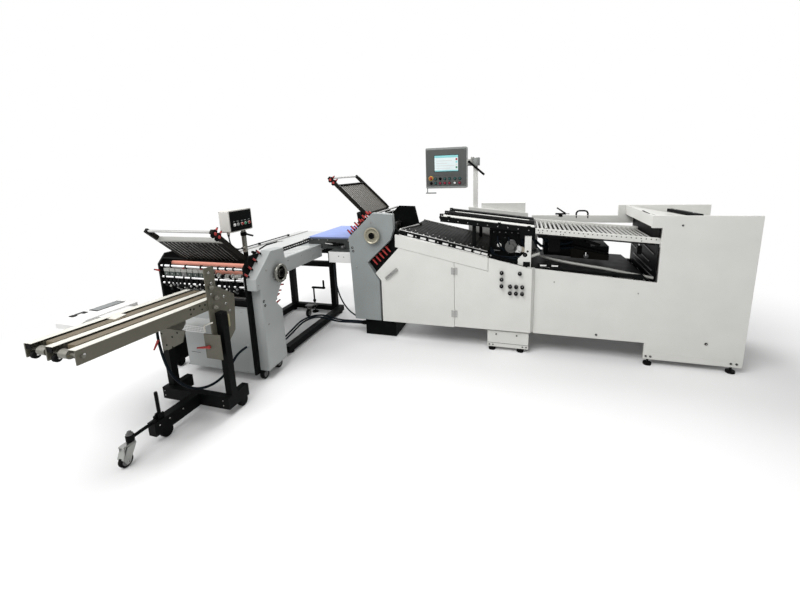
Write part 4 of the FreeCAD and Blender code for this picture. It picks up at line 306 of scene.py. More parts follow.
nodeFinish = {
    # the frame's pieces in each finish
    "panelWhite": "front_panel rear_panel feeder_hood main_plinth register_panel register_strip access_door "
                  "stream_rails rear_cabinet mast",
    "panelBlack": "line_frame register_table suction_head stream_board lower_conveyor first_unit_frame "
                  "second_unit_frame infeed_stand delivery_stand jack_crank",
    "coverGrey": "first_unit_cover",
    "coverSilver": "second_unit_cover lower_covers infeed_table",
    "plateGrey": "transfer_table",
    "railOlive": "delivery_table",
    "beltRibbed": "delivery_belts",
    "boxWhite": "keypad_box",
    "consoleGrey": "control_panel",
    "trunkGrey": "door_latch",
    "boxBeige": "second_control_box",
    "postSteel": "control_post",
    "steelBrushed": "first_roller castor_fork",
    "discGrey": "suction_wheel",
    "endSteel": "delivery_roller",
    "plateDark": "first_fold_plate second_fold_plate",
    "rollerDark": "stream_rollers",
    "wheelBronze": "first_hand_wheel",
    "wheelSteel": "second_hand_wheel",
    "plasticBlack": "adjusting_knobs panel_clamp_lever base_lever",
    "plasticRed": "emergency_stop recess_lever_1 recess_lever_2 recess_lever_3 recess_lever_4 recess_lever_5",
    "rubberSalmon": "upper_roller lower_roller",
    "beltBlue": "transfer_belts",
    "rubberBlack": "floor_pads castor_wheel",
}
edgeWidths = {"panelWhite": 2.5, "panelBlack": 2.0, "coverGrey": 1.0, "coverSilver": 2.5, "railOlive": 1.5,
              "boxWhite": 4.0, "consoleGrey": 2.0}
weldDistance = 0.02


def bevelled(item, width, angle):
    soft = item.modifiers.new("edges", "BEVEL")
    soft.width = width * milli
    soft.segments = 2
    soft.limit_method = "ANGLE"
    soft.angle_limit = math.radians(angle)
    return soft


for name, members in nodeFinish.items():
    for member in members.split():
        item = nodes[member]
        item.data.materials.clear()
        item.data.materials.append(paint[name])
        if name in edgeWidths:
            weld = item.modifiers.new("weld", "WELD")
            weld.merge_threshold = weldDistance * milli
            bevelled(item, edgeWidths[name], 35).harden_normals = True
print("Folding machine: finishes on the frame")

# cords: each route starts on its gland

cordRoutes = {
    "floorHose1": {"node": "floor_hose_1", "radius": 9, "body": "line", "points": [
        (-1490, 60, 100), (-1610, 60, 100), (-1790, 66, 86), (-1932, 63, 118), (-2050, 52, 124),
        (-2150, -22, 92), (-2166, -182, 46), (-2152, -365, 30), (-2142, -535, 70), (-2140, -635, 110),
        (-2140, -702, 110)]},
    "floorHose2": {"node": "floor_hose_2", "radius": 9, "body": "line", "points": [
        (-1490, 102, 100), (-1610, 102, 100), (-1790, 108, 86), (-1932, 105, 124), (-2050, 94, 130),
        (-2192, 20, 92), (-2208, -140, 46), (-2194, -323, 30), (-2184, -535, 70), (-2182, -635, 110),
        (-2182, -702, 110)]},
    "transferCable": {"node": "transfer_cable", "radius": 7, "body": "line", "points": [
        (-1800, 82, 726), (-1800, 82, 620), (-1796, 85, 485), (-1758, 86, 335), (-1690, 86, 226),
        (-1605, 84, 164), (-1538, 82, 146), (-1490, 82, 146)]},
    "deliveryCable": {"node": "delivery_cable", "radius": 9, "body": "line", "points": [
        (-2386, -1412, 742), (-2386, -1412, 630), (-2386, -1420, 500), (-2340, -1438, 372),
        (-2296, -1442, 279), (-2228, -1440, 212), (-2150, -1434, 182), (-2078, -1412, 174),
        (-2030, -1352, 178), (-2008, -1270, 200), (-2004, -1190, 250), (-2010, -1110, 300),
        (-2010, -1018, 300)]},
    "controlBoxCable": {"node": "control_box_cable", "radius": 5, "body": "second_box", "points": [
        (-2150, -903, 1154), (-2150, -903, 1104), (-2145, -888, 1060), (-2145, -852, 1034),
        (-2150, -808, 1022), (-2150, -771, 1022)]},
}


def routeCurve(name, points):
    curve = bpy.data.curves.new(name, "CURVE")
    curve.dimensions = "3D"
    curve.resolution_u = 12
    line = curve.splines.new("NURBS")
    line.points.add(len(points) - 1)
    for point, place in zip(line.points, points):
        point.co = tuple(metres(place)) + (1,)
    line.order_u = 3
    line.use_endpoint_u = True
    return curve


def routeLength(points):
    ruler = bpy.data.objects.new("ruler", routeCurve("ruler", points))
    mesh = bpy.data.meshes.new_from_object(ruler)
    length = sum((mesh.vertices[low].co - mesh.vertices[high].co).length
                 for low, high in (edge.vertices for edge in mesh.edges))
    bpy.data.objects.remove(ruler)
    bpy.data.meshes.remove(mesh)
    return length


def layCord(name, node, radius, body, points):
    curve = routeCurve(name, points)
    curve.bevel_depth = radius * milli
    curve.bevel_resolution = 5
    curve.use_fill_caps = True
    curve.materials.append(paint["hoseBlack"])
    cord = link(name, curve)
    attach(cord, body)
    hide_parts(node)
    tuple(metres(points[0]))
    routeLength(points)
    "hanging" if "Cable" in name else "loose"


for name, values in cordRoutes.items():
    layCord(name, **values)
print("Folding machine: cords laid")

# shapes that the pieces are put together from; a row names one and then gives it
#   box: spans in x, y and z, coat
#   plank: start, end, direction of the width, width, thickness, coat
#   prism: axis, span along it, outline, coat
#   lathe: start, direction, profile, coat, sides
#   rod: start, end, radius, coat, sides (bar: points instead of start and end)
#   bolt: place, direction, radius, coat, coat of the socket

toFront, toRear, toRight = (0, -1, 0), (0, 1, 0), (1, 0, 0)
upward, downward = (0, 0, 1), (0, 0, -1)


def block(shape, corners, coat):
    for face in ((0, 1, 3, 2), (4, 6, 7, 5), (0, 4, 5, 1), (2, 3, 7, 6), (0, 2, 6, 4), (1, 5, 7, 3)):
        shape.faces.new([corners[index] for index in face]).material_index = coat


def box(shape, x, y, z, coat=0):
    block(shape, [shape.verts.new((a, b, c)) for a in x for b in y for c in z], coat)


def plank(shape, start, end, side, width, thick, coat=0):
    # a flat bar from start to end; side is the direction of its width
    start, end, side = Vector(start), Vector(end), Vector(side).normalized()
    run = (end - start).normalized()
    side = (side - run * side.dot(run)).normalized()
    up = run.cross(side)
    block(shape, [shape.verts.new(place + side * a * width / 2 + up * b * thick / 2)
                  for place in (start, end) for a in (-1, 1) for b in (-1, 1)], coat)


def prism(shape, axis, span, outline, coat=0):
    order = {"X": lambda a, b, c: (c, a, b), "Y": lambda a, b, c: (a, c, b)}[axis]
    near, far = [[shape.verts.new(order(a, b, c)) for a, b in outline] for c in span]
    after = [(i + 1) % len(outline) for i in range(len(outline))]
    for face in [near, far[::-1]] + [[near[i], near[j], far[j], far[i]] for i, j in enumerate(after)]:
        shape.faces.new(face).material_index = coat


def ring(shape, middle, across, other, radius, sides):
    turns = [2 * math.pi * step / sides for step in range(sides)]
    return [shape.verts.new(middle + (across * math.cos(turn) + other * math.sin(turn)) * radius)
            for turn in turns]


def skin(shape, rings, coat, capped=True):
    sides = len(rings[0])
    for low, high in zip(rings, rings[1:]):
        for i in range(sides):
            shape.faces.new((low[i], low[(i + 1) % sides], high[(i + 1) % sides],
                             high[i])).material_index = coat
    if capped:
        for cap in (rings[0][::-1], rings[-1]):
            shape.faces.new(cap).material_index = coat


def lathe(shape, start, direction, profile, coat=0, sides=24):
    # profile: radius and height along the direction; one that comes back to its start is a closed ring
    direction = Vector(direction).normalized()
    across = direction.orthogonal().normalized()
    other = direction.cross(across)
    rings = [ring(shape, Vector(start) + direction * height, across, other, radius, sides)
             for radius, height in profile]
    skin(shape, rings, coat, profile[0] != profile[-1])


def rod(shape, start, end, radius, coat=0, sides=20):
    run = Vector(end) - Vector(start)
    edge = min(radius * 0.25, run.length * 0.2)
    lathe(shape, start, run, [(radius - edge, 0), (radius, edge), (radius, run.length - edge),
                              (radius - edge, run.length)], coat, sides)


def bar(shape, points, radius, coat=0, sides=12):
    # a bent round bar through the points
    points = [Vector(point) for point in points]
    rings = []
    across = None
    for index, point in enumerate(points):
        run = (points[min(index + 1, len(points) - 1)] - points[max(index - 1, 0)]).normalized()
        across = run.orthogonal() if across is None else across - run * across.dot(run)
        across.normalize()
        rings.append(ring(shape, point, across, run.cross(across), radius, sides))
    skin(shape, rings, coat)


def bolt(shape, place, direction, radius, coat=0, hollow=1):
    # a cap screw: domed head with a hexagon socket in the other coat
    direction = Vector(direction).normalized()
    lathe(shape, place, direction, [(radius, -1), (radius, radius * 0.45), (radius * 0.85, radius * 0.65),
                                    (radius * 0.5, radius * 0.68)], coat, 18)
    lathe(shape, Vector(place) + direction * radius * 0.69, direction,
          [(radius * 0.42, 0), (radius * 0.42, 0.3)],
          hollow, 6)


def bolts(places, radius, coat, hollow, direction=toFront):
    return [(bolt, place, direction, radius, coat, hollow) for place in places]


def piece(name, body, coats, parts, soft=0.8):
    # parts: groups of rows, each row a drawing function and what it's given; coats are numbered from 0
    shape = bmesh.new()
    for rows in parts.values():
        for draw, *values in rows:
            draw(shape, *values)
    bmesh.ops.recalc_face_normals(shape, faces=shape.faces)
    bmesh.ops.scale(shape, vec=(milli, milli, milli), verts=shape.verts)
    mesh = bpy.data.meshes.new(name)
    shape.to_mesh(mesh)
    shape.free()
    for coat in coats.split():
        mesh.materials.append(paint[coat])
    mesh.shade_smooth()
    mesh.set_sharp_from_angle(angle=math.radians(35))
    item = link(name, mesh)
    if soft:
        bevelled(item, soft, 40)
    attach(item, body)


def blend(start, end, share):
    return Vector(start) + (Vector(end) - Vector(start)) * share


# inclined surfaces of the line, as the frame has them: a height, its place and the fall per millimetre

slopes = {"edge": (757, 76, 0.2265), "board": (1087, 95, 0.116), "bed": (1086, 95, 0.0725)}


def heightAt(name, x):
    height, right, fall = slopes[name]
    return height + fall * (right - x)


def onEdge(x, y, lift):
    return x, y, heightAt("edge", x) + lift


def onBoard(x, y, lift):
    return x, y, heightAt("board", x) + lift


def onBed(x, y, lift):
    return x, y, heightAt("bed", x) + lift


# white side panels: bolts, skirt and seams

panelFittings = {
    "blackBolts": [(bolt, (x, 0, z), toFront, radius, 1, 2) for x, z, radius in
                   ((1115, 1126, 7), (1349, 217, 10), (591, 215, 9))],
    "steelBolts": bolts([(253, 0, 646), (867, 0, 588)], 6, 2, 1),
    "skirt": [(box, (938, 1588), (-3, 0), (50, 98))],
    "skirtBolts": bolts([(958, -3, 72), (990, -3, 72), (1520, -3, 76), (1556, -3, 76)], 8, 1, 2),
    "plinthBolts": bolts([(-205, -20, 150), (-32, -20, 150), (-262, -20, 50), (-232, -20, 50), (18, -20, 50),
                          (48, -20, 50)], 7, 1, 2),
    "plinthSeam": [(box, (-279, 66), (-21.2, -20), (66, 68.5), 1),
                   (box, (-276, 63), (-22.5, -20), (34, 66), 0)],
}
piece("panelFittings", "line", "panelWhite plasticBlack steelBrushed", panelFittings)

knobs = {"left": -165, "right": -19, "column": 49, "block": 70, "top": 716, "pitch": 58, "face": -40,
         "ring": [(19, -0.5), (19, 1.2), (17, 2), (10, 2)], "mark": -66.6, "teeth": 12, "toothCircle": 14.4,
         "toothFace": -50, "tooth": [(2.2, 0), (2.2, 13), (1.4, 14)]}


def knobPlaces():
    left, block = knobs["left"], knobs["left"] + knobs["block"]
    places = [(left, 0), (left, 1), (left, 2), (knobs["right"], 0)]
    places += [(block + column * knobs["column"], row) for column in (0, 1, 2) for row in (2, 3)]
    return [(x, knobs["top"] - row * knobs["pitch"]) for x, row in places]


def drawKnobRing(shape, x, z):
    lathe(shape, (x, knobs["face"], z), toFront, knobs["ring"], 0, 28)
    box(shape, (x - 1, x + 1), (knobs["mark"], knobs["mark"] + 0.6), (z + 2, z + 12), 1)
    for tooth in range(knobs["teeth"]):
        turn = 2 * math.pi * tooth / knobs["teeth"]
        lathe(shape, (x + knobs["toothCircle"] * math.cos(turn), knobs["toothFace"],
                      z + knobs["toothCircle"] * math.sin(turn)), toFront, knobs["tooth"], 2, 8)


piece("knobRings", "line", "steelBrushed boxWhite plasticBlack",
      {"rings": [(drawKnobRing, x, z) for x, z in knobPlaces()]}, 0.4)

hinges = {"x": -569.5, "y": -46.5, "heights": (711, 316), "knuckle": 6.6, "bore": 5, "gap": 0.5,
          "leaf": (7, 27),
          "half": 32, "plate": (-44.4, -42.9), "screw": 19, "screws": (-22, 0, 22)}


def drawHinge(shape, side):
    x, y, half, third = hinges["x"], hinges["y"], hinges["half"], hinges["half"] / 3
    bore, knuckle, gap = hinges["bore"], hinges["knuckle"], hinges["gap"]
    for z in hinges["heights"]:
        outer = ((z - half, z - third - gap), (z + third + gap, z + half))
        for low, high in outer if side > 0 else ((z - third, z + third),):
            lathe(shape, (x, y, low), upward, [(bore, 0), (knuckle, 1), (knuckle, high - low - 1),
                                               (bore, high - low)], 0, 20)
        box(shape, sorted(x + side * reach for reach in hinges["leaf"]), hinges["plate"],
            (z - half, z + half))
        for lift in hinges["screws"]:
            bolt(shape, (x + side * hinges["screw"], hinges["plate"][0], z + lift), toFront, 3, 0, 1)


piece("hingeOnPanel", "line", "steelBrushed plasticBlack", {"hinges": [(drawHinge, 1)]}, 0.4)
piece("hingeOnDoor", "door", "steelBrushed plasticBlack", {"hinges": [(drawHinge, -1)]}, 0.4)

pull = {"middle": (-1152, -54.5, 658), "length": 150, "angle": 41, "ribs": (-8.5, 0, 8.5), "rib": 3.4}


def drawPull(shape):
    turn = math.radians(pull["angle"])
    run = Vector((math.cos(turn), 0, math.sin(turn)))
    side = Vector((-math.sin(turn), 0, math.cos(turn)))
    middle, half = Vector(pull["middle"]), pull["length"] / 2
    for shift in pull["ribs"]:
        rod(shape, middle + side * shift - run * (half - 8), middle + side * shift + run * (half - 8),
            pull["rib"], 0, 12)
    for sign in (-1, 1):
        bolt(shape, middle + run * sign * (half - 5) + Vector((0, -0.2, 0)), toFront, 3.4, 1, 2)


piece("pullRibs", "latch", "steelBrushed panelWhite plasticBlack", {"pull": [(drawPull,)]},
      0.4)
print("Folding machine: side panels dressed")

# register table: ball rail, clips, guide bars and the band between them


def alongEdge(y, lift, wide, thick, coat, left=-1080, right=-290):
    return plank, onEdge(left, y, lift), onEdge(right, y, lift), toRear, wide, thick, coat


def ballRows(start, end, pitch, stayShare):
    rows = []
    for x in range(start, end, pitch):
        rows.append((lathe, onEdge(x, 58, 38), upward, [(6, 0), (6, 6), (4, 8)], 1, 12))
        if random.random() < stayShare:
            rows.append((lathe, (x + 22, 110, onEdge(x, 110, 44)[2]), upward, [(5, 0), (5, 5), (3, 6)], 0,
                         10))
    return rows


registerRail = {
    # the first rail is a painted highlight: a near-white strip along the panel's top edge
    "rails": [alongEdge(3, -1, 8, 5, 4), alongEdge(14, 20, 10, 40, 2), alongEdge(18, 43, 8, 8, 0),
              alongEdge(48, 34, 44, 8, 2)],
    "sheet": [alongEdge(433.5, 34, 683, 6, 2, -1040), alongEdge(779, 42, 6, 10, 0, -1040)],
    "clips": [row for x in (-1000, -880, -800, -680, -560, -480, -400, -340) for row in (
        (plank, onEdge(x, 7, 17), onEdge(x + 52, 7, 17), toRear, 5, 18, 1),
        (plank, onEdge(x + 72, 8, 17), onEdge(x + 84, 8, 17), toRear, 4, 12, 0))],
    "balls": ballRows(-1030, -310, 56, 0.6),
    "bands": [(box, (x, x + 12), (96, 771), (onEdge(x, 0, 34.4)[2], onEdge(x, 0, 37.4)[2]), 3)
              for x in range(-1020, -300, 31)],
    "guide": [(bar, [onEdge(-1085, 40, 22), onEdge(-1080, 52, 40), onEdge(-1010, 420, 46),
                     onEdge(-1006, 470, 34)], 9, 0),
              (rod, onEdge(-1010, 440, 44), onEdge(-1000, 500, 46), 14, 3),
              (bar, [onEdge(-1070, 180, 20), onEdge(-1068, 190, 36), onEdge(-1010, 560, 40)], 6, 0)],
}
piece("registerRail", "line", "steelBrushed boxWhite panelBlack ribBrown edgeWhite", registerRail)

# stream board: white plate and black ridge, with the end rollers


def alongBoard(y, lift, thick, coat, start=-700, end=88):
    middle = (y[0] + y[1]) / 2
    return plank, onBoard(start, middle, lift), onBoard(end, middle, lift), toRear, y[1] - y[0], thick, coat


boardEnd = onBoard(-700, 0, 0)[2]
boardStrips = {
    "strips": [alongBoard((62, 172), 2, 4, 0), alongBoard((184, 320), 9, 18, 1, -680),
               alongBoard((210, 236), 21, 6, 2, -660), alongBoard((270, 296), 21, 6, 2, -660),
               alongBoard((560, 645), 5, 10, 1), alongBoard((400, 470), 3, 6, 0, -640, 48)],
    "endRollers": [(rod, (-704, y, boardEnd - 8), (-704, y + 60, boardEnd - 8), 12, 2, 16)
                   for y in (50, 190, 330, 470, 610)],
    "brackets": [row for y in (70, 300, 560) for row in (
        (box, (-714, -684), (y, y + 16), (boardEnd - 30, boardEnd + 22), 1),
        (bolt, (-700, y, boardEnd + 8), toFront, 5, 3, 1))],
    "edgeBolts": bolts([onBoard(x, 44.5, -26) for x in range(-630, 43, 84)], 4.5, 3, 1),
    "stops": [(box, (x, x + 26), (34, 60), (onBoard(x, 0, -14)[2], onBoard(x, 0, 8)[2]), 1)
              for x in (-640, -210, 30)],
}
piece("boardStrips", "line", "panelWhite panelBlack rubberBlack steelBrushed", boardStrips)

# white post beside the suction head: stop disc, clamp block and air connector

postFittings = {
    "discs": [(lathe, (18, 12, 867), toFront, [(17, -4), (19, 0), (19, 12), (15, 15), (6, 15)], 0, 28),
              (lathe, (38, 12, 897), toFront, [(9, -4), (9, 12), (6, 14)], 0, 20)],
    "clampBlock": [(box, (4, 60), (-2, 16), (768, 808), 0), (bolt, (18, -3, 867), toFront, 4, 2, 2)],
    "connector": [(rod, (52, 20, 847), (136, 24, 878), 13, 3),
                  (lathe, (46, 20, 845), (0.94, 0, 0.34), [(16, 0), (16, 14), (13, 16)], 2, 20),
                  (rod, (50, 30, 985), (50, 30, 1034), 5, 0)],
}
piece("postFittings", "line", "panelBlack boxWhite castorGrey trunkGrey", postFittings, 0.4)

# opening of the feeder: a black sheet as painted shade on the inner side, and the sill


def overSill(x, y, lift):
    return x, y, 796 - 72 * (x - 104) / 886 + lift


openingShadeAndSill = {
    # painted shade: a black sheet over the inner wall face, where the opening lies in shade
    "side": [(box, (986, 990), (48, 815), (620, 1088), 0)],
    "rails": [(plank, (981, y, low), (981, y + 560, high), upward, 9, 5, 2) for y, low, high in
              ((90, 700, 716), (140, 742, 766), (220, 800, 836), (120, 880, 928))],
    "sill": [(plank, (104, 49, 734), (984, 49, 662), toRear, 6, 20, 0)],
    "blocks": [(plank, overSill(start, 56, -40), overSill(end, 56, -40), toRear, 8, 10, coat)
               for start, end, coat in ((150, 262, 1), (290, 372, 1), (470, 590, 2), (700, 860, 2))],
}
piece("openingShadeAndSill", "line", "panelBlack boxWhite castorGrey", openingShadeAndSill)

# roller bed: punched rails, drive boxes and bars below it

bedDetails = {
    "holes": [(lathe, onBed(x, 44.6, -15), toFront, [(4.5, -0.6), (4.5, 0.4)], 0, 12)
              for x in range(118, 1025, 34)],
    "caps": [(lathe, onBed(x, 44.6, -34), toFront, [(4, -0.6), (4, 0.6), (2, 1)], 0, 12)
             for x in (128, 150, 290, 310, 470, 870)],
    "under": [(plank, onBed(125, 430, -62), onBed(975, 430, -62), toRear, 700, 3, 0),
              (rod, (330, 200, 985), (930, 200, 962), 11, 1), (rod, (320, 420, 1000), (930, 420, 978), 9, 1),
              (plank, (340, 190, 998), (560, 190, 990), toRear, 60, 40, 0),
              (plank, (500, 205, 962), (610, 215, 925), toRear, 40, 26, 0),
              (plank, (118, 140, 1010), (330, 150, 1000), toRear, 120, 24, 0),
              (box, (208, 300), (170, 320), (862, 1010), 0)],
    "housing": [(prism, "Y", (300, 420),
                 [(205, 872), (248, 868), (400, 902), (590, 862), (700, 838), (700, 780),
                  (470, 790), (215, 812)], 0),
                (prism, "Y", (286, 300), [(395, 880), (590, 842), (700, 820), (700, 776), (400, 792)], 2),
                (lathe, (520, 268, 812), toFront, [(20, -20), (20, 6), (12, 10)], 3, 24),
                (lathe, (515, 262, 845), upward, [(7, -30), (7, 4), (4, 6)], 1, 16)],
    "sensor": [(box, (872, 905), (150, 190), (868, 935), 0), (rod, (888, 170, 935), (888, 170, 1000), 7, 1),
               (lathe, (888, 146, 880), toFront, [(12, 0), (12, 8), (6, 10)], 0, 18)],
    "chutes": [row for y in (120, 300, 480, 660) for row in (
        (plank, (930, y, 700), (1045, y, 612), toRear, 40, 4, 0),
        (plank, (935, y + 30, 706), (1040, y + 30, 625), toRear, 5, 5, 1))],
    "terminals": [(box, (120, 200), (34, 90), (762, 790), 0), (box, (215, 300), (34, 60), (762, 782), 0)]
                 + [(box, (x, x + 50), (30, 34), (768, 780), 4) for x in (140, 230)],
}
piece("bedDetails", "line", "plasticBlack chromeBright plateDark castorGrey boxWhite",
      bedDetails)

trunk = {"points": [(60, 300, 830), (140, 262, 806), (260, 190, 790), (400, 120, 780), (620, 82, 758),
                    (800, 70, 728), (975, 64, 700)], "radius": 12, "ribs": (0.2, 0.4, 0.6, 0.8),
         "rib": [(12.2, 0), (12.9, 1), (12.9, 4), (12.2, 5)]}


def trunkRibs():
    for start, end in zip(trunk["points"], trunk["points"][1:]):
        run = (Vector(end) - Vector(start)).normalized()
        for share in trunk["ribs"]:
            yield lathe, blend(start, end, share) - run * 3, run, trunk["rib"], 0, 18


piece("airTrunk", "line", "trunkGrey",
      {"trunk": [(bar, trunk["points"], trunk["radius"], 0, 18)], "ribs": trunkRibs()}, 0)

# suction head: discs, arms, hoses and levers over the stack


def drawDisc(shape, x, y, z, radius, depth, coat):
    lathe(shape, (x, y, z), toFront, [(radius - 2, -2), (radius, 0), (radius, depth - 2), (radius - 3, depth),
                                      (radius * 0.5, depth), (radius * 0.45, depth - 3)], coat, 28)
    bolt(shape, (x, y - depth + 2, z), toFront, max(radius * 0.16, 3), 4, 2)


headArms = {
    "discs": [(drawDisc, *values) for values in (
        # place, radius, depth, coat
        (-199, 146, 917, 44, 16, 0), (-199, 130, 917, 20, 4, 6), (-97, 146, 930, 40, 12, 4),
        (-97, 134, 930, 16, 5, 6), (-150, 146, 985, 22, 12, 0), (-240, 146, 860, 17, 10, 0),
        (-10, 146, 985, 20, 10, 0), (20, 146, 930, 16, 12, 0), (-120, 146, 845, 14, 12, 0),
        (-60, 146, 832, 20, 10, 0))],
    "plate": [(prism, "Y", (122, 150), [(-66, 862), (-24, 856), (-8, 878), (-10, 906), (-32, 918), (-62, 912),
                                        (-74, 892)], 5)] + bolts([(-52, 122, 900), (-30, 122, 872)], 5, 1, 2),
    "posts": [row for x in (-262, -180, -60, 60, 170) for row in (
        (box, (x, x + 30), (146, 190), (1004, 1066), 0),
        (lathe, (x + 15, 168, 1066), upward, [(9, 0), (9, 9), (6, 11)], 1, 16))],
    "drops": [(bar, [(x, 140, z), (x + 4, 126, z - 50), (x + 26, 124, z - 96), (x + 60, 134, z - 130)], 7, 2)
              for x, z in ((-215, 1000), (-120, 990), (-10, 1000), (90, 1005))],
    "hoses": [(bar, points, radius, coat) for radius, coat, points in (
        (7, 2, [(-270, 130, 900), (-262, 118, 850), (-200, 108, 822), (-90, 110, 818), (10, 118, 830)]),
        (6, 2, [(-255, 132, 880), (-240, 116, 838), (-180, 104, 806), (-60, 104, 804), (30, 112, 812)]),
        (6, 0, [(-258, 140, 1040), (-275, 126, 980), (-280, 122, 900), (-272, 128, 850)]),
        (16, 2, [(140, 200, 1010), (190, 190, 960), (260, 200, 930), (340, 230, 925), (400, 260, 940)]),
        (12, 2, [(60, 260, 980), (150, 240, 900), (280, 250, 880), (420, 300, 880)]))],
    "lever": [(rod, (-275, 138, 872), (-190, 138, 868), 5, 4), (box, (-16, 36), (130, 170), (862, 905), 3)],
    "caps": [(lathe, (-250 + index * 52, 145, 1034 - index * 2), toFront, [(6, 0), (6, 3), (4, 4)], 4, 12)
             for index in range(7)],
}
piece("headArms", "line",
      "panelBlack steelBrushed hoseBlack beige castorGrey boxWhite rollerDark",
      headArms)

# feeder hood: magazine bar and catches

hoodFittings = {
    "bar": [(plank, (1186, 530, 1181), (1266, 130, 1181), toRight, 40, 26, 0)]
           + [(bolt, blend((1186, 530, 1194), (1266, 130, 1194), share), upward, 7, 1, 0)
              for share in (0.2, 0.8)],
    "catch": [(box, (930, 960), (96, 180), (1150, 1190), 0),
              (bar, [(935, 150, 1190), (930, 230, 1194), (936, 330, 1194)], 7, 0),
              (bar, [(955, 120, 1140), (1010, 420, 1080), (1040, 640, 1040)], 8, 1)],
}
piece("hoodFittings", "line", "panelBlack steelBrushed", hoodFittings)

rearHandle = {
    "handle": [(bar, [(492, 826, 1070), (492, 826, 1118), (502, 826, 1136), (520, 826, 1142),
                      (568, 826, 1142),
                      (586, 826, 1136), (596, 826, 1118), (596, 826, 1070)], 8, 0)],
    "feet": [(lathe, (x, 826, 1070), upward, [(12, 0), (12, 24), (9, 28)], 0, 16) for x in (492, 596)],
    "clamp": [(box, (330, 366), (812, 838), (1084, 1104), 0), (box, (300, 398), (816, 834), (1104, 1119), 0),
              (bar, [(392, 825, 1119), (372, 825, 1130), (330, 825, 1160), (312, 825, 1172)], 7, 0),
              (rod, (398, 825, 1113), (430, 825, 1112), 5, 1)],
}
piece("rearHandle", "line", "panelBlack steelBrushed", rearHandle)

# operator's screen, buttons and stop

consoleCoats = ("consoleDark panelBlack screenGlass steelBrushed screenCyan plasticBlack plasticRed boxWhite "
                "signYellow buttonTeal buttonPlum consoleGrey buttonGreen")


def drawPushButton(shape, x, z, coat):
    lathe(shape, (x, 864.6, z), toFront, [(16, -1), (16, 2), (14, 3), (10, 3)], 5, 28)
    lathe(shape, (x, 862, z), toFront, [(12, 0), (12, 7), (10, 9), (5, 9.6)], coat, 24)


consoleFace = {
    "face": [(box, (-1026, -592), (864.6, 867), (1404, 1790), 0),
             (box, (-1026, -592), (863.6, 867), (1384, 1404), 11),
             (box, (-1026, -592), (863.6, 867), (1790, 1808), 11)],
    "screen": [(box, (-953, -657), (862, 865), (1523, 1750), 0),
               (box, (-936, -672), (861.2, 862), (1557, 1733), 1),
               (box, (-931, -677), (860.6, 861.2), (1562, 1728), 2),
               (box, (-931, -677), (860.1, 860.6), (1704, 1728), 4),
               (box, (-931, -677), (860.1, 860.6), (1562, 1574), 4)],
    "lines": [(box, (-913, right), (860.2, 860.6), (1592 + row * 26, 1598 + row * 26), 7)
              for row, right in enumerate((-763, -717, -793, -743))],
    "keys": [(box, (-703, -685), (860.1, 860.6), (1592 + row * 28, 1612 + row * 28), coat)
             for row, coat in enumerate((12, 7, 4, 6))],
    "upperButtons": [(drawPushButton, x, 1484, coat) for x, coat in
                     ((-923, 9), (-873, 5), (-822, 9), (-771, 9), (-712, 9), (-660, 9))],
    "lowerButtons": [(drawPushButton, x, 1438, coat) for x, coat in
                     ((-972, 5), (-923, 9), (-873, 10), (-822, 10), (-771, 10), (-714, 7), (-662, 10))],
    "stopRing": [(lathe, (-975, 864.6, 1490), toFront, [(25, -1), (25, 1), (23, 1.6), (17.5, 1.6)], 8, 32)],
    "corners": bolts([(x, 864.6, z) for x in (-1014, -604) for z in (1414, 1780)], 3.5, 3, 1),
}
piece("consoleFace", "console", consoleCoats, consoleFace, 0.3)

clampBody = {
    "hub": [(lathe, (-555, 866, 1650), toFront, [(30, 0), (30, 30), (24, 34), (15, 34)], 0, 32)],
    "plate": [(box, (-586, -500), (846, 866.4), (1618, 1676), 0)]
             + bolts([(x, 846, z) for x in (-574, -520) for z in (1628, 1666)], 5, 1, 2),
    "ear": [(box, (-540, -506), (838, 846), (1676, 1700), 0), (bolt, (-523, 838, 1688), toFront, 8, 1, 2)],
}
piece("clampBody", "console", "trunkGrey steelBrushed plasticBlack", clampBody)
piece("mastCollar", "console", "boxWhite steelBrushed plasticBlack",
      {"cap": [(lathe, (-496, 882, 1690.6), upward, [(38, 0), (38, 4), (30, 8), (12, 9)], 0, 32)]})
print("Folding machine: feeder and screen dressed")

# clamp levers and fold plates

def clampLever(shape, root, direction, length, red=0, black=1, girth=1.0):
    # black foot, red tapered grip, black tip
    root, direction = Vector(root), Vector(direction).normalized()
    foot = length * 0.3
    lathe(shape, root, direction, [(8 * girth, 0), (8 * girth, foot * 0.8), (6 * girth, foot)], black, 14)
    lathe(shape, root + direction * (foot - 1), direction,
          [(7 * girth, 0), (8 * girth, length * 0.12), (6 * girth, length * 0.5),
           (6.5 * girth, length * 0.58),
           (4 * girth, length * 0.6)], red, 14)
    lathe(shape, root + direction * (length * 0.89), direction,
          [(4.5 * girth, 0), (6 * girth, 3), (6 * girth, length * 0.09), (3 * girth, length * 0.11)], black,
          14)


slantLevers = {"low": (-1556, -20, 998), "high": (-1326, -20, 1211), "count": 6, "length": 62, "girth": 1.3,
               "normal": (-0.679, -0.12, 0.734), "backShare": 0.8, "backGirth": 1.2,
               "backNormal": (-0.74, 0.1, 0.66), "rodLow": (-1520, 300, 1030), "rodHigh": (-1330, 300, 1205),
               "rodShares": (0.2, 0.45, 0.7, 0.95)}


def drawSlantLevers(shape):
    values = slantLevers
    for index in range(values["count"]):
        root = blend(values["low"], values["high"], (index + 0.5) / values["count"])
        clampLever(shape, root, values["normal"], values["length"], girth=values["girth"])
        clampLever(shape, root + Vector((8, 34, 6)), values["backNormal"],
                   values["length"] * values["backShare"],
                   girth=values["backGirth"])
        box(shape, (root.x - 14, root.x + 14), (root.y, root.y + 50), (root.z - 20, root.z + 4), 1)
    for share in values["rodShares"]:
        root = blend(values["rodLow"], values["rodHigh"], share)
        rod(shape, root, root + Vector((0, 470, 0)), 9, 2)
        rod(shape, root - Vector((0, 290, 0)), root - Vector((0, 10, 0)), 9, 2)


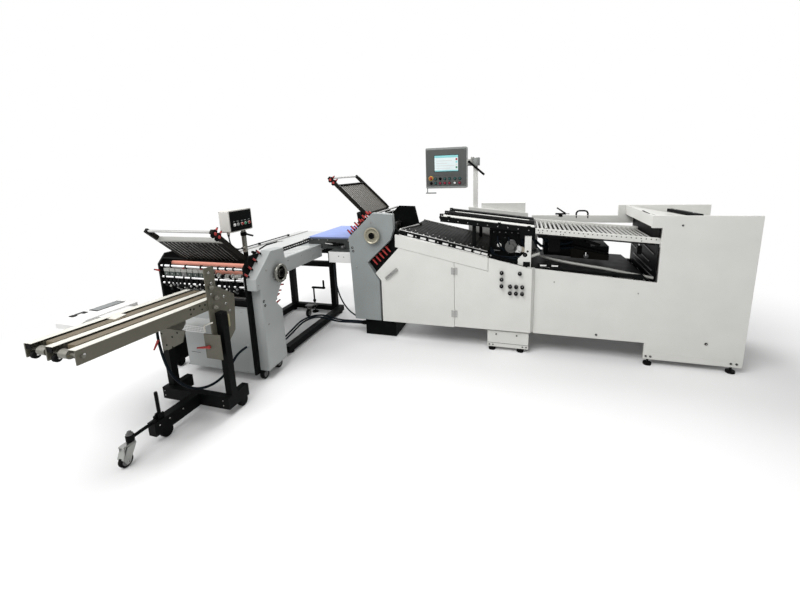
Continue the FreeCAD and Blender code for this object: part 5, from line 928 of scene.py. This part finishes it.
piece("slantLevers", "line", "plasticRed plasticBlack steelBrushed",
      {"levers": [(drawSlantLevers,)]}, 0.4)

plateFrame = {"tail": 110, "bars": 15, "rail": 22}
plateLook = {
    "first_plate": {"foot": (-1440, 80, 1180), "run": (-0.71934, 0, 0.69466), "normal": (0.69466, 0, 0.71934),
                    "across": (0, 1, 0), "width": 650, "length": 400, "barWidth": 26, "barLift": 13,
                    "barCoat": 0,
                    "lineCoat": None, "crossWidth": 8, "crossCoat": 3},
    "second_plate": {"foot": (-1976, -940, 952), "run": (0, -0.74314, 0.66913),
                     "normal": (0, 0.66913, 0.74314),
                     "across": (-1, 0, 0), "width": 600, "length": 300, "barWidth": 29, "barLift": 0,
                     "barCoat": 5,
                     "lineCoat": 1, "crossWidth": 20, "crossCoat": 2},
}


def drawPlate(shape, values):
    foot, along, across, normal = (Vector(values[name]) for name in ("foot", "run", "across", "normal"))
    width, length, rail = values["width"], values["length"], plateFrame["rail"]
    reach, pitch = length + plateFrame["tail"], (width - 2 * rail) / plateFrame["bars"]
    far = width - rail / 2

    def at(run, side, lift):
        return foot + along * run + across * side + normal * lift

    # painted shade: a dark sheet behind the bars keeps the gaps between them dark
    plank(shape, at(14, width / 2, 6), at(length - 18, width / 2, 6), across, width - 2 * rail + 2, 3, 5)
    for index in range(plateFrame["bars"]):
        side, lift = rail + (index + 0.5) * pitch, values["barLift"]
        plank(shape, at(12, side, lift), at(length - 16, side, lift), across, values["barWidth"], 5,
              values["barCoat"])
        # painted highlights: steel strips in the gaps stand in for the light caught on the bar edges
        if values["lineCoat"] and index:
            line = side - pitch / 2
            plank(shape, at(14, line, lift - 4), at(length - 20, line, lift - 4), across, 5, 3,
                  values["lineCoat"])
    plank(shape, at(length - 9, 6, 15), at(length - 9, width - 6, 15), along, values["crossWidth"], 34,
          values["crossCoat"])
    for side in (rail / 2, far):
        plank(shape, at(30, side, 32), at(reach - 36, side, 32), across, 14, 5, 3)
        for run in (90, 210, length - 30):
            bolt(shape, at(run, side, 34), normal, 5, 1, 3)
    rod(shape, at(reach - 11, rail, 15), at(reach - 11, width - rail, 15), 9, 1, 16)
    for run in (reach - 30, reach - 72):
        middle = at(run, rail / 2, 15)
        for lift in (-18, 18):
            rod(shape, middle + normal * lift - along * 12, middle + normal * lift + along * 12, 13, 3, 14)
        rod(shape, middle - across * 10, middle - across * 15, 12, 4, 16)
        clampLever(shape, middle + normal * 20 - along * 4, normal, 34, 4, 3)
        rod(shape, middle - normal * 8 + along * 17, middle + normal * 8 + along * 17, 11, 4, 14)
    rod(shape, at(reach - 11, far - 16, 15), at(reach - 11, far + 10, 15), 14, 3, 16)
    rod(shape, at(reach - 40, far - 12, 15), at(reach - 40, far + 10, 15), 11, 3, 16)


for name, body in (("firstPlateBars", "first_plate"), ("secondPlateBars", "second_plate")):
    piece(name, body, "plateBar steelBrushed trunkGrey plasticBlack plasticRed ribBrown",
          {"plate": [(drawPlate, plateLook[body])]}, 0.4)

# hand wheels: hubs and rims

wheels = {"first_drive": ((-1318, -52, 1015), toFront), "second_drive": ((-1856, -735, 822), toRight)}
hub = {"profile": [(30, 16), (31, 18), (31, 26), (29, 29), (19, 29), (17, 27), (15.6, 22), (15.6, 17),
                   (8, 16.6)],
       "screwLift": 28.4, "screwCircle": 24, "screwTurns": (0.5, 2.6, 4.7)}
rim = {"circle": 64, "wide": 12, "lift": 16, "high": 14, "steps": 24}


def drawWheelHub(shape, centre, direction):
    centre, direction = Vector(centre), Vector(direction)
    lathe(shape, centre, direction, hub["profile"], 0, 40)
    side = direction.orthogonal().normalized()
    other = direction.cross(side)
    for turn in hub["screwTurns"]:
        bolt(shape, centre + direction * hub["screwLift"] + (side * math.cos(turn) + other * math.sin(turn))
             * hub["screwCircle"], direction, 2.2, 0, 0)


def drawRim(shape, centre, direction):
    # round rim over the dished wheel
    turns = [2 * math.pi * step / rim["steps"] for step in range(rim["steps"] + 1)]
    lathe(shape, centre, direction, [(rim["circle"] + rim["wide"] * math.cos(turn),
                                      rim["lift"] + rim["high"] * math.sin(turn)) for turn in turns], 0, 48)


piece("firstWheelHub", "first_drive", "plasticBlack steelBrushed",
      {"hub": [(drawWheelHub, *wheels["first_drive"])]}, 0.4)
piece("secondWheelRim", "second_drive", "wheelSteel", {"rim": [(drawRim, *wheels["second_drive"])]},
      0)
piece("secondWheelHub", "second_drive", "plasticBlack steelBrushed",
      {"hub": [(drawWheelHub, *wheels["second_drive"])]}, 0.4)
print("Folding machine: fold plates and hand wheels dressed")

# cover of the first unit: bolts and holes, name space left bare

def coverHole(place, screw, direction):
    return [(lathe, place, direction, [(11, -0.6), (11, 1.4), (8, 1.8), (8, 0.5)], 1, 24),
            (lathe, screw, direction, [(5, 0), (5, 1), (3, 1.6)], 0, 16)]


firstCoverBolts = {
    "bolts": [(bolt, (x, -40, z), toFront, radius, 0, 1) for x, z, radius in
              ((-1330, 1133, 7), (-1500, 706, 7), (-1505, 420, 6))],
    "holes": coverHole((-1532, -40, 892), (-1531, -41.6, 892), toFront)
             + coverHole((-1525, -40, 860), (-1524, -41.6, 860), toFront),
}
piece("firstCoverBolts", "line", "steelBrushed plasticBlack", firstCoverBolts, 0.4)

# transfer table: side plate, bolts, knob and terminal box

transferSide = {
    "bolts": bolts([(-2060, 130, 930), (-1980, 130, 928), (-1880, 130, 926), (-2085, 130, 880),
                    (-1640, 130, 905)],
                   7, 0, 1),
    "lever": [(box, (-1840, -1790), (120, 130), (868, 906), 1),
              (plank, (-1880, 114, 892), (-1700, 116, 886), upward, 22, 12, 1),
              (rod, (-1900, 106, 896), (-1815, 108, 888), 6, 0)],
    "knobs": [(lathe, (-1752, 116, 890), toFront, [(17, 0), (17, 24), (13, 28)], 1, 24),
              (lathe, (-1706, 130, 862), toFront, [(20, -1), (20, 8), (12, 10), (12, 22), (15, 25), (15, 34),
                                                   (10, 37)], 2, 28)],
}
piece("transferSide", "line", "steelBrushed plasticBlack castorGrey", transferSide, 0.4)

terminalLid = {"lid": [(box, (-1806, -1575), (-3, 0), (731, 838), 0)],
               "screws": bolts([(-1700, -3, 796), (-1646, -3, 789.52)], 6, 1, 2)}
piece("terminalLid", "line", "boxWhite steelBrushed plasticBlack", terminalLid)

beltSeams = {"seams": [(box, (-2098, -1562), (y, y + 14), (949, 951.2), 0)
                       for y in (96, 214, 330, 446, 562, 678, 794)],
             "rods": [(rod, (x, 24, 944), (x, 880, 944), 9, 1) for x in (-2092, -1600)]}
piece("beltSeams", "line", "beltSeam steelBrushed", beltSeams, 0)

# infeed table: deck strips, ball bar, side rail screws

infeedDeck = {
    "strips": [(box, (left, right), (-580, 850), (885, 889), coat) for left, right, coat in
               ((-2655, -2560, 0), (-2540, -2230, 0), (-2205, -2130, 1))],
    "rails": [(box, (-2224, -2206), (-580, 850), (885, 899), 1),
              (box, (-2126, -1962), (-580, -20), (885, 889), 0),
              (box, (-2556, -2544), (-580, 850), (885, 894), 2)],
    "balls": [row for y in range(-560, 830, 38) for row in (
        (lathe, (-2168, y, 889), upward, [(9, 0), (9, 4), (7, 8), (3, 10)], 2, 16),
        (box, (-2150, -2132), (y - 8, y + 10), (889, 897), 1))],
    "lines": [(box, (-2100, -1990), (y, y + 8), (889, 889.6), 3) for y in range(-520, -16, 56)],
    "screws": bolts([(-1950, -470, 855), (-1950, -250, 850), (-1950, -90, 862), (-1950, -60, 800)],
                    6, 2, 1, toRight),
    "guide": [(rod, (-2590, -560, 903), (-2590, 500, 903), 5, 1)]
             + [(box, (-2600, -2580), (y, y + 20), (885, 909), 1) for y in (-550, -20, 490)],
}
piece("infeedDeck", "line", "deckLight panelBlack steelBrushed seamGrey", infeedDeck)

spareCastor = {"x": -2292, "y": 330, "radius": 44, "width": 26}


def drawSpareCastor(shape):
    x, y, radius, width = (spareCastor[name] for name in ("x", "y", "radius", "width"))
    box(shape, (x - 45, x + 45), (y - 10, y + 60), (118, 126), 0)
    for side in (-1, 1):
        prism(shape, "X", sorted((x + side * 17, x + side * 21)),
              [(y - 26, 38), (y - 6, 34), (y + 26, 104), (y - 6, 112)], 0)
    box(shape, (x - 21, x + 21), (y - 8, y + 28), (104, 110), 0)
    lathe(shape, (x, y + 10, 108), upward, [(20, 0), (22, 4), (18, 12)], 0, 24)
    lathe(shape, (x - width / 2, y - 14, radius + 1), toRight,
          [(radius - 5, 0), (radius, 4), (radius, width - 4), (radius - 5, width)], 1, 36)
    for side in (-1, 1):
        lathe(shape, (x + side * 12.5, y - 14, radius + 1), (side, 0, 0),
              [(26, 0), (24, 2), (9, 2.5), (8, 7), (5, 8)], 2, 24)


piece("spareCastor", "line", "castorGrey rubberBlack consoleGrey",
      {"castor": [(drawSpareCastor,)]})
print("Folding machine: transfer and infeed dressed")

# second unit: sleeves, clamps, strips and red levers

def drawTies(shape):
    for z in (910, 820, 770):
        rod(shape, (-2768, -991, z), (-1977, -991, z), 12, 0, 20)
        x = -2740
        while x < -2010:
            rod(shape, (x, -991, z), (x + 12, -991, z), 17, 1, 18)
            x += random.choice((70, 95, 120, 150))


piece("tieSleeves", "line", "chromeBright panelBlack", {"ties": [(drawTies,)]}, 0.3)


def drawUpperClamps(shape):
    for x in range(-2732, -2290, 58):
        body = random.choice((2, 2, 4))
        box(shape, (x, x + 48), (-1004, -955), (832, 866), body)
        box(shape, (x, x + 52), (-1006, -950), (867, 893), 3)
        bolt(shape, (x + 25, -1006, 850), toFront, 5, 0, 1)
        if random.random() < 0.4:
            box(shape, (x + 18, x + 34), (-1008, -990), (896, 902), 5)


def drawCollars(shape):
    for x in range(-2262, -2010, 19):
        tone = 3 if random.random() < 0.5 else 1
        lathe(shape, (x, -985, random.choice((846, 850, 854))), toRight,
              [(13, 0), (16, 3), (16, 12), (13, 15)], tone, 18)


def drawLowerClamps(shape):
    x = -2740
    while x < -1995:
        deep = random.choice((46, 60, 76))
        box(shape, (x, x + 26), (-1004, -948), (790 - deep, 806), 1)
        if random.random() < 0.45:
            lathe(shape, (x + 13, -1004, 780 - deep * 0.4), toFront, [(9, 0), (9, 7), (6, 10), (3, 11)],
                  random.choice((0, 3, 4)), 18)
        if random.random() < 0.4:
            rod(shape, (x + 30, -1001, 742), (x + 30, -962, 706), 6, 0)
        x += random.choice((38, 46, 58))


tieClamps = {
    "clamps": [(drawUpperClamps,), (drawCollars,), (drawLowerClamps,)],
    "wheels": [row for x in range(-2700, -2010, 92) for row in (
        (lathe, (x, -984, 748), toRight, [(20, 0), (24, 3), (24, 22), (20, 25)], 1, 24),
        (lathe, (x + 25, -984, 748), toRight, [(12, 0), (12, 5)], 4, 20))],
}
piece("tieClamps", "line", "steelBrushed panelBlack clampGreen trunkGrey castorGrey plasticRed",
      tieClamps, 0.5)

punchedStrip = {
    "strip": [(box, (-2668, -2250), (-1158, -1150), (452, 502), 0),
              (box, (-2668, -2250), (-1150, -1018), (496, 502), 0)],
    "holes": [(lathe, (-2652 + index * 15, -1158, z), toFront, [(3.6, -0.5), (3.6, 0.4)], 1, 8)
              for z in (464, 477, 490) for index in range(27)],
}
piece("punchedStrip", "line", "deckLight panelBlack", punchedStrip)

cornerClamps = {
    "clamps": [row for x, y, z in ((-1962, -952, 872), (-1966, -915, 914),
                                   (-1962, -872, 952), (-1966, -828, 992)) for row in (
        (lathe, (x - 34, y, z), toRight, [(18, 0), (22, 4), (22, 22), (18, 26)], 0, 10),
        (lathe, (x - 8, y, z), toRight, [(12, 0), (12, 4), (8, 6)], 1, 20),
        (plank, (x - 22, y, z), (x - 22, y - 30, z + 26), toRight, 18, 14, 0))],
    "hose": [(bar, [(-1975, -790, 1022), (-1975, -700, 1040), (-1975, -560, 1038)], 6, 0),
             (rod, (-1975, -560, 1038), (-1975, -480, 1030), 4, 1)],
}
piece("cornerClamps", "line", "panelBlack steelBrushed", cornerClamps)

redLevers = {
    "upper": [(clampLever, blend((-1940, -992, 850), (-1940, -812, 1008), share), (0.15, -0.72, 0.5), 74)
              for share in (0.03, 0.3, 0.62, 0.92)],
    "lower": [(clampLever, blend((-1932, -594, 778), (-1932, -732, 640), share), (0.1, 0.92, -0.2), 78)
              for share in (0.02, 0.3, 0.58, 0.86)],
    "onRods": [row for z in (604, 550) for row in (
        (clampLever, (-1932, -730, z), (0.1, 0.9, 0.25), 70),
        (rod, (-1932, -770, z), (-1932, -710, z - 6), 20, 1))],
    "farSide": [(clampLever, (-2772, y, z), (-0.5, -0.6, 0.3), 62)
                for y, z in ((-985, 862), (-930, 905), (-880, 950))],
}
piece("redLevers", "line", "plasticRed plasticBlack", redLevers, 0.4)

secondCoverBolts = {
    "bolts": [(bolt, (-1870, y, z), toRight, radius, 0, 1) for y, z, radius in
              ((-870, 880, 8), (-905, 455, 7), (-975, 790, 5), (-650, 975, 6))],
    "holes": coverHole((-1870, -935, 650), (-1868.4, -935, 650), toRight)
             + coverHole((-1870, -925, 614), (-1868.4, -925, 614), toRight),
}
piece("secondCoverBolts", "line", "steelBrushed plasticBlack", secondCoverBolts, 0.4)

lowerBolts = {
    "louvres": [(box, (x, x + 90), (-1019.5, -1018), (200, 203), 1) for x in (-2560, -2400, -2240)],
    "bolts": bolts([(-2600, -1018, 580), (-2300, -1018, 580), (-2020, -1018, 580), (-2600, -1018, 90),
                    (-2020, -1018, 90)], 5, 0, 1),
}
piece("lowerBolts", "line", "steelBrushed plasticBlack", lowerBolts, 0.3)
piece("unitTyres", "line", "castorGrey",
      {"hubs": [(lathe, (x, y, 38), (side, 0, 0), [(24, -1), (22, 1), (12, 1.5), (10, 5), (6, 6)], 0, 28)
                for y in (-930, -750) for x, side in ((-1927, 1), (-2812, -1))]}, 0.4)

# control box of the second unit

boxButtons = {
    "face": [(box, (-2102, -2097.5), (-927, -693), (1180, 1330), 0)],
    "buttons": [row for y, coat in ((-888, 2), (-850, 3), (-805, 4), (-768, 5), (-725, 4)) for row in (
        (lathe, (-2097.5, y, 1228), toRight, [(13, -0.5), (13, 2.5), (11, 3.5)], 1, 24),
        (lathe, (-2094, y, 1228), toRight, [(10, 0), (10, 5), (8, 7), (4, 7.5)], coat, 20),
        (box, (-2098, -2096.9), (y - 9, y + 9), (1250, 1255), 3))],
    "screws": bolts([(-2185, -935, 1330), (-2105, -935, 1330)], 3, 1, 0),
}
piece("boxButtons", "second_box",
      "panelBlack steelBrushed boxWhite consoleGrey plasticRed buttonGreen", boxButtons, 0.4)

postGrip = {
    "collar": [(lathe, (-2150, -740, 1120), upward, [(22, 0), (24, 3), (24, 26), (20, 30)], 0, 24)],
    "grip": [(plank, (-2128, -740, 1135), (-2100, -690, 1112), upward, 12, 10, 0),
             (clampLever, (-2130, -740, 1135), (0.5, 0.6, -0.35), 60, 0, 0)],
}
piece("postGrip", "second_box", "plasticBlack", postGrip, 0.4)
print("Folding machine: second unit dressed")

# delivery table: rail tops, screws, holes and clamp levers

tilt = {"pivot": -1424, "height": 830, "cosine": 0.99958, "sine": 0.02897}


def onTable(x, y, z):
    # a point of the table drawn level, tipped about the pivot as the rails are
    forward, up = y - tilt["pivot"], z - tilt["height"]
    return Vector((x, tilt["pivot"] + forward * tilt["cosine"] + up * tilt["sine"],
                   tilt["height"] - forward * tilt["sine"] + up * tilt["cosine"]))


def alongTable(x, near, far, z, wide, thick, coat):
    return plank, onTable(x, near, z), onTable(x, far, z), toRight, wide, thick, coat


railTops = {
    "tops": [alongTable((left + right) / 2, -2183, -1262, 831, right - left, 2.4, 0)
             for left, right in ((-2247, -2200), (-2100, -2052), (-1948, -1900))],
    "brackets": [alongTable((left + right) / 2, -2120, -1262, 806, right - left, 3, 1)
                 for left, right in ((-2198, -2182), (-2117, -2102), (-2049, -2032), (-1968, -1951))],
    "catch": [(plank, onTable(-2177, -1830, 826), onTable(-2177, -1765, 834), toRight, 66, 5, 0),
              (plank, onTable(-2140, -1830, 820), onTable(-2140, -1810, 800), toRight, 8, 5, 0)],
    "ends": [alongTable(x, -2176, -2130, 792, 60, 10, 1) for x in (-2150, -2000)],
}
piece("railTops", "delivery", "trayCream bracketOlive", railTops)

tableScrews = {
    "railHoles": [(lathe, onTable(-1899, y, z), toRight, [(6, -0.5), (6, 0.5), (4, 0.6)], coat, 14)
                  for y, z, coat in ((-2150, 800, 0), (-1560, 812, 1), (-1560, 782, 1), (-1535, 806, 1),
                                     (-1490, 812, 1), (-1475, 784, 1), (-1450, 805, 1))],
    "screws": [(bolt, (-1892.5, y, z), toRight, radius, 0, 1) for y, z, radius in
               ((-1398, 1000, 8), (-1390, 930, 9), (-1300, 812, 9), (-1330, 700, 7), (-1260, 700, 7),
                (-1290, 760, 9), (-1375, 470, 7), (-1400, 860, 6))],
    "frontHoles": [(lathe, (x, -1430, z), toFront, [(7, -0.5), (7, 0.6), (5, 0.8)], 1, 14) for x, z in
                   ((-2330, 560), (-2240, 545), (-2190, 580), (-2300, 480), (-2250, 470))],
}
piece("tableScrews", "delivery", "steelBrushed plasticBlack", tableScrews, 0.3)

tableClamps = {
    "levers": [(clampLever, (-1925, -1440, 512), (-0.85, -0.5, 0.06), 74, 0, 0),
               (lathe, (-1925, -1438, 512), toFront, [(12, 0), (12, 8), (8, 10)], 0, 18),
               (clampLever, (-2345, -1450, 520), (-0.35, -0.3, -0.9), 74, 0, 0)],
    "hook": [(bar, [(-1942, -1436, 612), (-1942, -1440, 652), (-1934, -1444, 662), (-1862, -1450, 690)], 5,
              1)],
    "plate": [(prism, "Y", (-1334, -1328), [(-1892, 600), (-1838, 620), (-1838, 706), (-1892, 690)], 2),
              (bolt, (-1862, -1334, 682), toFront, 7, 3, 3)],
    "knobs": [(lathe, place, toRight, [(13, 0), (13, 10), (8, 13), (8, 22), (5, 24)], 4, 20) for place in
              ((-1888, -1400, 905), (-1884, -1372, 828), (-1880, -1392, 770))],
}
piece("tableClamps", "delivery", "plasticRed trayCream khaki plasticBlack endSteel", tableClamps,
      0.4)


def drawEndWheels(shape):
    for x in (-2225, -2075):
        place = onTable(x, -2164.5, 770)
        lathe(shape, place, toRight, [(17, 0), (20, 3), (20, 19), (17, 22)], 0, 24)
        rod(shape, place + Vector((-8, 0, 0)), place + Vector((30, 0, 0)), 5, 1)
        plank(shape, place + Vector((11, 0, 6)), onTable(x + 11, -2150, 802), toRight, 30, 6, 2)
    for left, right in ((-2246, -2204), (-2099, -2056)):
        low, high = onTable(left, -2184.5, 802), onTable(right, -2184.5, 826)
        box(shape, (left, right), (low.y + 1.6, low.y + 4), (low.z, high.z), 0)


piece("endWheels", "delivery", "rubberBlack steelBrushed bracketOlive",
      {"wheels": [(drawEndWheels,)]}, 0.4)

keypad = {"top": 795, "left": -2608, "near": -1780, "wide": 21, "pitch": 30, "bare": (1, 1)}


def keyPlaces():
    return [(keypad["left"] + row * keypad["wide"], keypad["near"] + column * keypad["pitch"])
            for column in range(3) for row in range(2) if (column, row) != keypad["bare"]]


keypadKeys = {
    "keys": [(box, (x, x + keypad["wide"] - 3), (y, y + keypad["pitch"] - 5),
              (keypad["top"] - 1, keypad["top"] + 3.5), 0) for x, y in keyPlaces()],
    "screen": [(box, (-2606, -2530), (-1668, -1490), (keypad["top"] - 1, keypad["top"] + 2), 0),
               (box, (-2601, -2535), (-1660, -1498), (keypad["top"] + 2, keypad["top"] + 2.6), 1)],
}
piece("keypadKeys", "delivery", "plasticBlack seamGrey", keypadKeys, 0.6)

# delivery stand: castor housings and screws

standFittings = {
    "housings": [row for x in (-1867, -2368) for row in (
        (lathe, (x - 16, -1277, 38), toRight, [(28, 0), (28, 1), (10, 2), (10, 30), (28, 31), (28, 32)], 0,
         28),
        (box, (x - 24, x + 24), (-1300, -1254), (56, 60), 0))],
    "screws": bolts([(-1890, -1425, 85), (-1890, -1425, 120), (-2395, -1425, 85), (-2395, -1425, 120)], 4, 1,
                    0)
              + bolts([(-2087, y, 120) for y in (-1730, -1660, -1560)], 5, 1, 0, toRight),
    "knobs": [(lathe, (-2130, -1716, 145), upward, [(14, 0), (14, 18), (10, 22)], 0, 18),
              (lathe, (-2102, -1750, 145), upward, [(12, 0), (12, 16), (8, 19)], 0, 18)],
    "pivot": [(lathe, (-2116, -1891, 169), upward, [(18, 0), (18, 8), (11, 10), (11, 20), (6, 23)], 2, 24),
              (lathe, (-2116, -1891, 128), downward, [(22, -38), (22, -6), (19, 0)], 0, 24)],
}
piece("standFittings", "line", "panelBlack steelBrushed castorGrey", standFittings)

castorX = -2116
forkShell = {
    "cheeks": [row for side in (-1, 1) for row in (
        (prism, "X", sorted((castorX + side * 19.6, castorX + side * 23)),
         [(-1958, 52), (-1946, 22), (-1930, 22), (-1880, 108), (-1876, 120), (-1940, 124)], 0),
        (bolt, (castorX + side * 23, -1936, 38), (side, 0, 0), 8, 1, 2))],
    "bridge": [(prism, "X", (-2139, -2093),
                [(-1964, 60), (-1960, 52), (-1930, 118), (-1876, 118), (-1876, 124),
                 (-1936, 126)], 0)],
}
piece("forkShell", "castor", "castorLight steelBrushed plasticBlack", forkShell)
piece("castorHub", "castor_roll", "castorGrey",
      {"hubs": [(lathe, (castorX + side * 14, -1936, 38), (side, 0, 0),
                 [(27, -1), (26, 1), (12, 1.5), (11, 3)], 0, 24) for side in (-1, 1)]}, 0.3)
piece("leverGrip", "height_lever", "plasticBlack",
      {"grip": [(lathe, (castorX, -1700, 175), upward, [(9.5, 0), (10.5, 6), (10.5, 136), (8, 144)], 0, 20)]},
      0)
piece("jackThread", "jack", "panelBlack steelBrushed",
      {"nut": [(lathe, (-2297, 470, 130), upward, [(17, 0), (17, 20), (12, 24)], 0, 24)],
       "thread": [(lathe, (-2297, 470, 30 + turn * 5), upward, [(8.6, 0), (10.2, 1.4), (8.6, 3)], 1, 20)
                  for turn in range(18)]}, 0)
print("Folding machine: delivery table and stand dressed")

# tapered sleeves where the cords leave their glands

reliefs = {
    # start, direction, wide and narrow radius, length
    "floorHose1": ((-1490, 60, 100), (-1, 0, 0), 15, 9.6, 42),
    "floorHose2": ((-1490, 102, 100), (-1, 0, 0), 15, 9.6, 42),
    "transferCable": ((-1800, 82, 726), downward, 12, 7.6, 34),
    "deliveryCable": ((-2386, -1412, 742), downward, 13, 9.6, 36),
    "controlBoxCable": ((-2150, -903, 1154), downward, 9, 5.6, 24),
}


def drawRelief(shape, start, direction, wide, narrow, length):
    rings = [(wide, 0.2)]
    for step in range(6):
        height = 3 + step * (length - 6) / 6
        radius = wide + (narrow - wide) * (step + 0.5) / 6
        rings += [(radius, height), (radius, height + (length - 6) / 9),
                  (radius - 1.1, height + (length - 6) / 8),
                  (radius - 1.1, height + (length - 6) / 6.3)]
    rings.append((narrow, length))
    lathe(shape, start, direction, rings, 0, 20)


for name, values in reliefs.items():
    piece(name + "Relief", cordRoutes[name]["body"], "rubberBlack",
          {"sleeve": [(drawRelief, *values)]}, 0)
print("Folding machine: cord reliefs fitted")

print("Folding machine: done")
